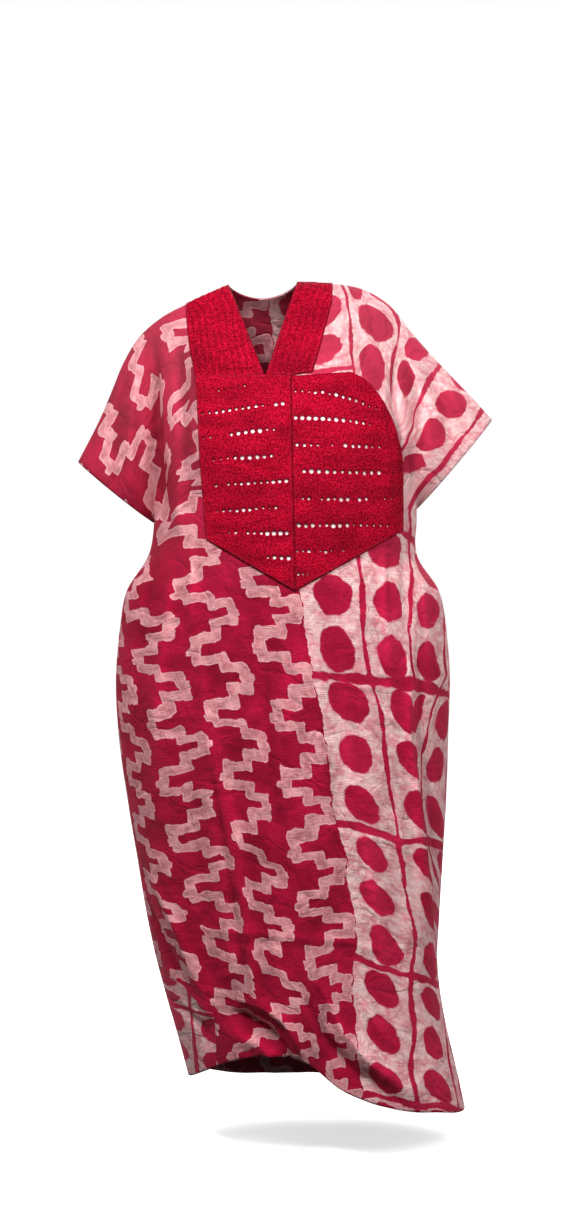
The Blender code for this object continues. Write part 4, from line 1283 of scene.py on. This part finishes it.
c_right, c_left = shoulder_column("back", -0.1306), shoulder_column("back", 0.1120)
band_right = [*metres(((-111.8, -153.1), (-122.5, -101.6), (-128.5, -56))),
    *top_line("front", c_right, 0.5, 60)[:-1], (tip_x - 2 * SEAM, tip_z + 0.0005)]
band_left = [*metres(((42.3, -147.8), (78, -141.4), (92.4, -91.8), (100.6, -61), (110, -25))),
    *top_line("front", c_left, 0.5, 60)[:-1], (tip_x + 2 * SEAM, tip_z + 0.0005)]
back_curve = [(-0.0095 - 0.1215 * math.cos(turn), -0.012 - 0.084 * math.sin(turn))
    for turn in (math.pi * k / 16 for k in range(1, 16))]
band_back = back_curve + top_line("back", c_left, c_right, 120)
# side, outline, the edge that the ribs follow, how high they are, pits
BANDS = {
    "neck_band_right": ("front", band_right, band_right[:3], 0.0009, BAND_PITS),
    "neck_band_left": ("front", band_left, band_left[1:5], 0.0004, ()),
    "neck_band_back": ("back", band_back, back_curve, 0.0006, ())}
# the grooves between the ribs get painted shade, more than the yoke's
for name, (side, outline, edge, height, pits) in BANDS.items():
    layers[name] = layer(name + "_cloth", side, outline, LAYER_GAP, BAND, aso_oke, pits=pits,
        relief=ribs(edge, height), groove=0.34)

# %% [markdown]
# ## Pockets
#
# In each side seam a flat cotton bag hangs inside the robe, sewn to the lips of
# the opening. Seen from the side its mouth stands open a little. The bag is a tube
# of rings that leaves the opening, sinks, and closes at its foot; the same rings a
# cloth's thickness further in make the inside.

# %% Pocket bags
POCKET_CLOTH, MOUTH_HALF_HEIGHT = 0.0008, 0.0785
# in mm: in from the seam, down, height in thousandths of the mouth's, half depth
POCKET_STATIONS = metres(((0, 0, 1000, 13.5), (24, -12, 1080, 13.5), (60, -45, 1150, 12.5),
    (95, -70, 1100, 9.5), (115, -80, 850, 4.5)))


def pocket(way, material):
    edge = 0 if way == "right" else -1
    inward = 1.0 if way == "right" else -1.0
    lips = [grids[side][0][mouth_first:mouth_last + 1, edge] for side in ("front", "back")]
    loop = np.concatenate((lips[0], lips[1][::-1][1:-1]))
    ends = (0, mouth_last - mouth_first)
    loop[ends, 1] = 0.0
    middle = loop[:, 2].mean()
    t = np.arange(len(POCKET_STATIONS), dtype=float)
    steps = np.linspace(0, len(POCKET_STATIONS) - 1, 25)
    turns = 2 * np.pi * np.arange(len(loop)) / len(loop)

    def ring(at, inset):
        run, down, height, half_depth = (curve(t, POCKET_STATIONS[:, k], at) for k in range(4))
        share = np.clip((loop[:, 2] - middle) / MOUTH_HALF_HEIGHT, -1, 1)
        round_y = np.copysign(half_depth * np.sqrt(1 - share ** 2), loop[:, 1])
        blend = min(at, 1.0)
        y = (1 - blend) * 0.86 * loop[:, 1] + blend * round_y
        y = y + 0.0012 * blend * np.sin(3 * turns + 2.2 * at) * np.abs(np.sin(turns))
        y[list(ends)] = 0.0
        y = y - np.copysign(np.minimum(inset, 0.6 * np.abs(y)), y)
        z = middle + down + (loop[:, 2] - middle) * (height - inset / 0.08)
        return np.stack((loop[:, 0] + inward * (CLOTH + 0.0006 + run), y, z), axis=1)

    rings = [ring(at, 0.0) for at in steps] + [ring(at, POCKET_CLOTH) for at in steps[::-1]]
    rings[len(steps)] = rings[len(steps)] - np.array([inward * POCKET_CLOTH, 0, 0])
    size, half = len(loop), len(steps)
    faces = []
    for r in range(len(rings)):
        if r == half - 1:
            continue
        s = (r + 1) % len(rings)
        for k in range(size):
            a, b = r * size, s * size
            faces.append((a + k, a + (k + 1) % size, b + (k + 1) % size, b + k))
    for r in (half - 1, half):
        cap = [r * size + k for k in range(size)]
        faces += [(cap[0], cap[1], cap[-1]), (cap[ends[1] - 1], cap[ends[1]], cap[ends[1] + 1])]
        faces += [(cap[k], cap[k + 1], cap[-k - 1], cap[-k]) for k in range(1, ends[1] - 1)]
    piece = mesh_piece("pocket_bag_" + way, np.concatenate(rings), faces, material)
    bm = bmesh.new()
    bm.from_mesh(piece.data)
    bmesh.ops.recalc_face_normals(bm, faces=bm.faces)
    bm.to_mesh(piece.data)
    bm.free()
    return piece


pockets = {"pocket_" + way: pocket(way, pocket_cotton) for way in ("right", "left")}

# %% [markdown]
# ## Stitches
#
# A running stitch is one small shape repeated along a line, which is what Geometry
# Nodes are for. The tree takes lines of points, cuts them at every stitch, and puts
# a short spindle of thread at each cut. Modelling each by hand would look the same
# and could not be changed.

# %% Tree for a running stitch
def new_tree(name, **numbers):
    """An empty Geometry Nodes tree with named inputs, its inputs, and what adds nodes."""
    tree = bpy.data.node_groups.new(name, "GeometryNodeTree")
    for way in ("INPUT", "OUTPUT"):
        tree.interface.new_socket("Geometry", in_out=way, socket_type="NodeSocketGeometry")
    for label, value in numbers.items():
        socket = tree.interface.new_socket(label.replace("_", " "), in_out="INPUT",
            socket_type="NodeSocketFloat")
        socket.default_value = value
    tree.interface.new_socket("Thread", in_out="INPUT", socket_type="NodeSocketMaterial")
    add = partial(add_node, tree)
    return tree, add("NodeGroupInput").outputs, add


def repeat(tree, given, points, shape, way, size):
    """End a tree: a shape at every point, turned along a way, made real, of thread."""
    turned = add_node(tree, "FunctionNodeAlignRotationToVector", Vector=way, axis="Z")
    placed = add_node(tree, "GeometryNodeInstanceOnPoints", points, Instance=shape,
        Rotation=turned, Scale=size)
    made = add_node(tree, "GeometryNodeRealizeInstances", placed)
    made = add_node(tree, "GeometryNodeSetMaterial", made, Material=given["Thread"])
    add_node(tree, "NodeGroupOutput", made)
    print(tree.name, len(tree.nodes), "nodes")


stitch_tree, given, add = new_tree("running_stitch", Stitch_length=0.0032, Gap=0.0012,
    Thread_radius=0.0004)
step = add("Math ADD", given["Stitch length"], given["Gap"])
cuts = add("GeometryNodeCurveToPoints", add("GeometryNodeMeshToCurve", given["Geometry"]), step,
    mode="LENGTH")
spindle = add("GeometryNodeMeshUVSphere", 6, 4, 1.0)
half_length = add("Math MULTIPLY", given["Stitch length"], 0.5)
thickness = given["Thread radius"]
repeat(stitch_tree, given, cuts, spindle, cuts.outputs["Tangent"],
    add("CombineXYZ", thickness, thickness, half_length))

# %% Run a tree and keep its result as a plain mesh
def grown(name, points, edges, tree, thread, attributes=(), **numbers):
    mesh = bpy.data.meshes.new(name + "_line")
    mesh.from_pydata([tuple(p) for p in points], edges, [])
    for label, kind, values in attributes:
        stored = mesh.attributes.new(label, kind, "POINT")
        stored.data.foreach_set("vector" if kind == "FLOAT_VECTOR" else "value",
            np.asarray(values, np.float32).ravel())
    source = bpy.data.objects.new(name + "_line", mesh)
    GARMENT.objects.link(source)
    modifier = source.modifiers.new("nodes", "NODES")
    modifier.node_group = tree
    for item in tree.interface.items_tree:
        label = item.name.replace(" ", "_").lower()
        if item.in_out == "INPUT" and label in numbers:
            modifier[item.identifier] = numbers[label]
        elif item.in_out == "INPUT" and item.name == "Thread":
            modifier[item.identifier] = thread
    ready = source.evaluated_get(bpy.context.evaluated_depsgraph_get())
    whole = bpy.data.meshes.new_from_object(ready)
    whole.name = name
    source.modifiers.clear()
    bpy.data.objects.remove(source)
    bpy.data.meshes.remove(mesh)
    piece = bpy.data.objects.new(name, whole)
    GARMENT.objects.link(piece)
    print(name, len(whole.polygons), "faces")
    return piece


def chained(lines):
    """Points and edges of several open lines."""
    points, edges = [], []
    for each in lines:
        start = len(points)
        points += [tuple(p) for p in each]
        edges += [(start + k, start + k + 1) for k in range(len(each) - 1)]
    return points, edges

# %% Lines for the stitches
def inset(outline, distance):
    """An outline moved inwards, with its first point repeated to close it."""
    outline = resampled(np.array(outline), 0.004)
    before, after = np.roll(outline, 1, axis=0), np.roll(outline, -1, axis=0)
    run = after - before
    inward = np.stack((-run[:, 1], run[:, 0]), axis=1) / np.linalg.norm(run, axis=1, keepdims=True)
    x, z = outline.T
    turning = (x * np.roll(z, -1) - z * np.roll(x, -1)).sum()
    moved = outline + np.sign(turning) * distance * inward
    kept = edge_distance(outline, *moved.T) > 0.8 * distance
    moved = moved[kept]
    return np.concatenate((moved, moved[:1]))


def on_layer(side, outline, distance, height):
    line = inset(outline, distance)
    points, normals = on_panel(side, line[:, 0], line[:, 1])
    return points + height * normals


def within_edge(side, edge, distance):
    """A line on a panel that keeps a distance from its hem, cuff or pocket mouth."""
    points, normals = grids[side]
    across, down = unrolled(points)
    if edge == "hem":
        far, picked = (down[-1:] - down).T, range(2, points.shape[1] - 2)
        solid, facing = points.transpose(1, 0, 2), normals.transpose(1, 0, 2)
    else:
        right = edge.endswith("right")
        far = across - across[:, :1] if right else across[:, -1:] - across
        picked = range(mouth_first + 1, mouth_last)
        if edge.startswith("cuff"):
            picked = range(3, SLEEVE_ROWS - 2)
        solid, facing = points, normals
    made = []
    for k in picked:
        order = np.argsort(far[k])
        middle = [np.interp(distance, far[k][order], solid[k][order, i]) for i in range(3)]
        out = [np.interp(distance, far[k][order], facing[k][order, i]) for i in range(3)]
        made.append(np.array(middle) + 0.0002 * np.array(out))
    return np.array(made)


PANELS, WAYS = ("front", "back"), ("right", "left")
yoke_top, band_top = yoke_gap + YOKE + 0.0004, LAYER_GAP + BAND + 0.0003
in_hem, in_mouth = TURNED - 0.002, 0.006
STITCHES = {
    "stitches_yoke": [on_layer("front", half, 0.0030, yoke_top)
                      for half in (right_half, left_half)],
    "stitches_bands": [on_layer(side, band, 0.0032, band_top) for side, band in (
        ("front", band_right), ("front", band_left), ("back", band_back))],
    "stitches_hem": [within_edge(side, "hem", in_hem) for side in PANELS],
    "stitches_cuffs": [within_edge(side, "cuff_" + way, in_hem)
                       for side in PANELS for way in WAYS],
    "stitches_pockets": [within_edge(side, "mouth_" + way, in_mouth)
                         for side in PANELS for way in WAYS]}
threads = {}
for name, lines in STITCHES.items():
    thread = crimson_thread if name in ("stitches_yoke", "stitches_bands") else raspberry_thread
    threads[name] = grown(name, *chained(lines), stitch_tree, thread, thread_radius=0.00032)

# %% [markdown]
# ## Bound eyelets
#
# Each eyelet is a hole pushed through the cloth with an awl and bound with thread.
# A second tree sets a ring of thread round every hole, turned to face outwards and
# as wide as the hole.

# %% Tree for the rings, and the rings
ring_tree, given, add = new_tree("eyelet_rings", Thread_share=0.17)
loop = add("GeometryNodeCurvePrimitiveCircle", 12, 1.12)
bead = add("GeometryNodeCurvePrimitiveCircle", 5, given["Thread share"])
facing = add("GeometryNodeInputNamedAttribute", "facing", data_type="FLOAT_VECTOR")
radius = add("GeometryNodeInputNamedAttribute", "hole_radius", data_type="FLOAT")
repeat(ring_tree, given, add("GeometryNodeMeshToPoints", given["Geometry"]),
    add("GeometryNodeCurveToMesh", loop, bead), facing, radius)

every_hole = np.array(eyelets("right")[0] + eyelets("left")[0])
holes_at, holes_face = on_panel("front", every_hole[:, 0], every_hole[:, 1])
holes_at = holes_at + (yoke_gap + 0.45 * YOKE) * holes_face
threads["eyelet_rings"] = grown("eyelet_rings", holes_at, [], ring_tree, crimson_thread,
    (("facing", "FLOAT_VECTOR", holes_face), ("hole_radius", "FLOAT", every_hole[:, 2])))

# %% [markdown]
# ## Studio
#
# A plain white floor runs on to a white surround, so that no line shows behind the
# robe. The floor gives off a little light of its own, as an overlit studio floor
# seems to; it and the surround are seen but light nothing, so that the robe keeps
# its shading. Large soft lights stand high in front, at both sides and behind.

# %% Floor and surround
FLOOR_Z = -1.428
floor_mesh = bpy.data.meshes.new("floor")
corners = [(40 * a, 40 * b, FLOOR_Z) for a, b in ((-1, -1), (1, -1), (1, 1), (-1, 1))]
floor_mesh.from_pydata(corners, [], [(0, 1, 2, 3)])
floor = bpy.data.objects.new("floor", floor_mesh)
bpy.context.scene.collection.objects.link(floor)
painted, shader, add = new_material("white_painted_floor", Roughness=0.8, Specular_IOR_Level=0.1)
shader.inputs["Base Color"].default_value = colour("#F0F0F0")
shader.inputs["Emission Color"].default_value = colour("#FFFFFF")
spot = add("TexCoord").outputs["Object"]
from_robe = add("VectorMath DISTANCE", spot, (0.08, 0.0, FLOOR_Z))
# painted light: the floor glows, more weakly near the robe so that its cast shadow shows, a
# painted darkening round it, and fully further off, where the floor runs white into the surround
glow = add("MapRange", from_robe, 0.25, 1.6, 0.68, 1.0)
feed(painted.node_tree, shader.inputs["Emission Strength"], glow)
floor_mesh.materials.append(painted)
floor.visible_diffuse = False
world = bpy.data.worlds.new("white_surround")
bpy.context.scene.world = world
world.use_nodes = True
surround = world.node_tree.nodes["Background"]
surround.inputs["Color"].default_value = colour("#FFFFFF")
surround.inputs["Strength"].default_value = 1.0
world.cycles_visibility.diffuse = False

# %% Lights
def soft_light(name, place, aim, size, power):
    light = bpy.data.objects.new(name, bpy.data.lights.new(name, "AREA"))
    light.data.shape, light.data.size, light.data.energy = "DISK", size, power
    light.location = place
    light.rotation_euler = (Vector(aim) - Vector(place)).to_track_quat("-Z", "Y").to_euler()
    bpy.context.scene.collection.objects.link(light)


LIGHTS = (
    ("key_light", (-0.95, -1.9, 1.6), (0.0, 0.0, -0.2), 0.8, 84.0),
    ("front_fill", (1.2, -2.3, 1.15), (0.1, 0.0, -0.4), 1.5, 60.0),
    ("side_fill", (3.0, -0.6, 0.3), (0.0, 0.0, -0.6), 2.4, 22.0),
    ("far_side_fill", (-3.0, 0.0, 0.4), (0.0, 0.0, -0.5), 2.4, 22.0),
    ("back_light", (0.9, 3.0, 1.6), (0.0, 0.0, -0.4), 2.2, 100.0),
    ("low_fill", (0.0, -2.6, -1.3), (0.0, 0.0, -0.9), 1.6, 1.5))
for light in LIGHTS:
    soft_light(*light)
bpy.context.scene.view_settings.view_transform = "Standard"
print("floor at", FLOOR_Z, "m,", len(LIGHTS), "lights")

# %% Hand over
for side in ("front", "back"):
    piece = panels[side]
    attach(piece, "root")
    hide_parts(side)

for node, piece in layers.items():
    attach(piece, "root")
    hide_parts(node)

for name, piece in threads.items():
    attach(piece, "root")

for node, piece in pockets.items():
    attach(piece, "root")
    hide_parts(node)
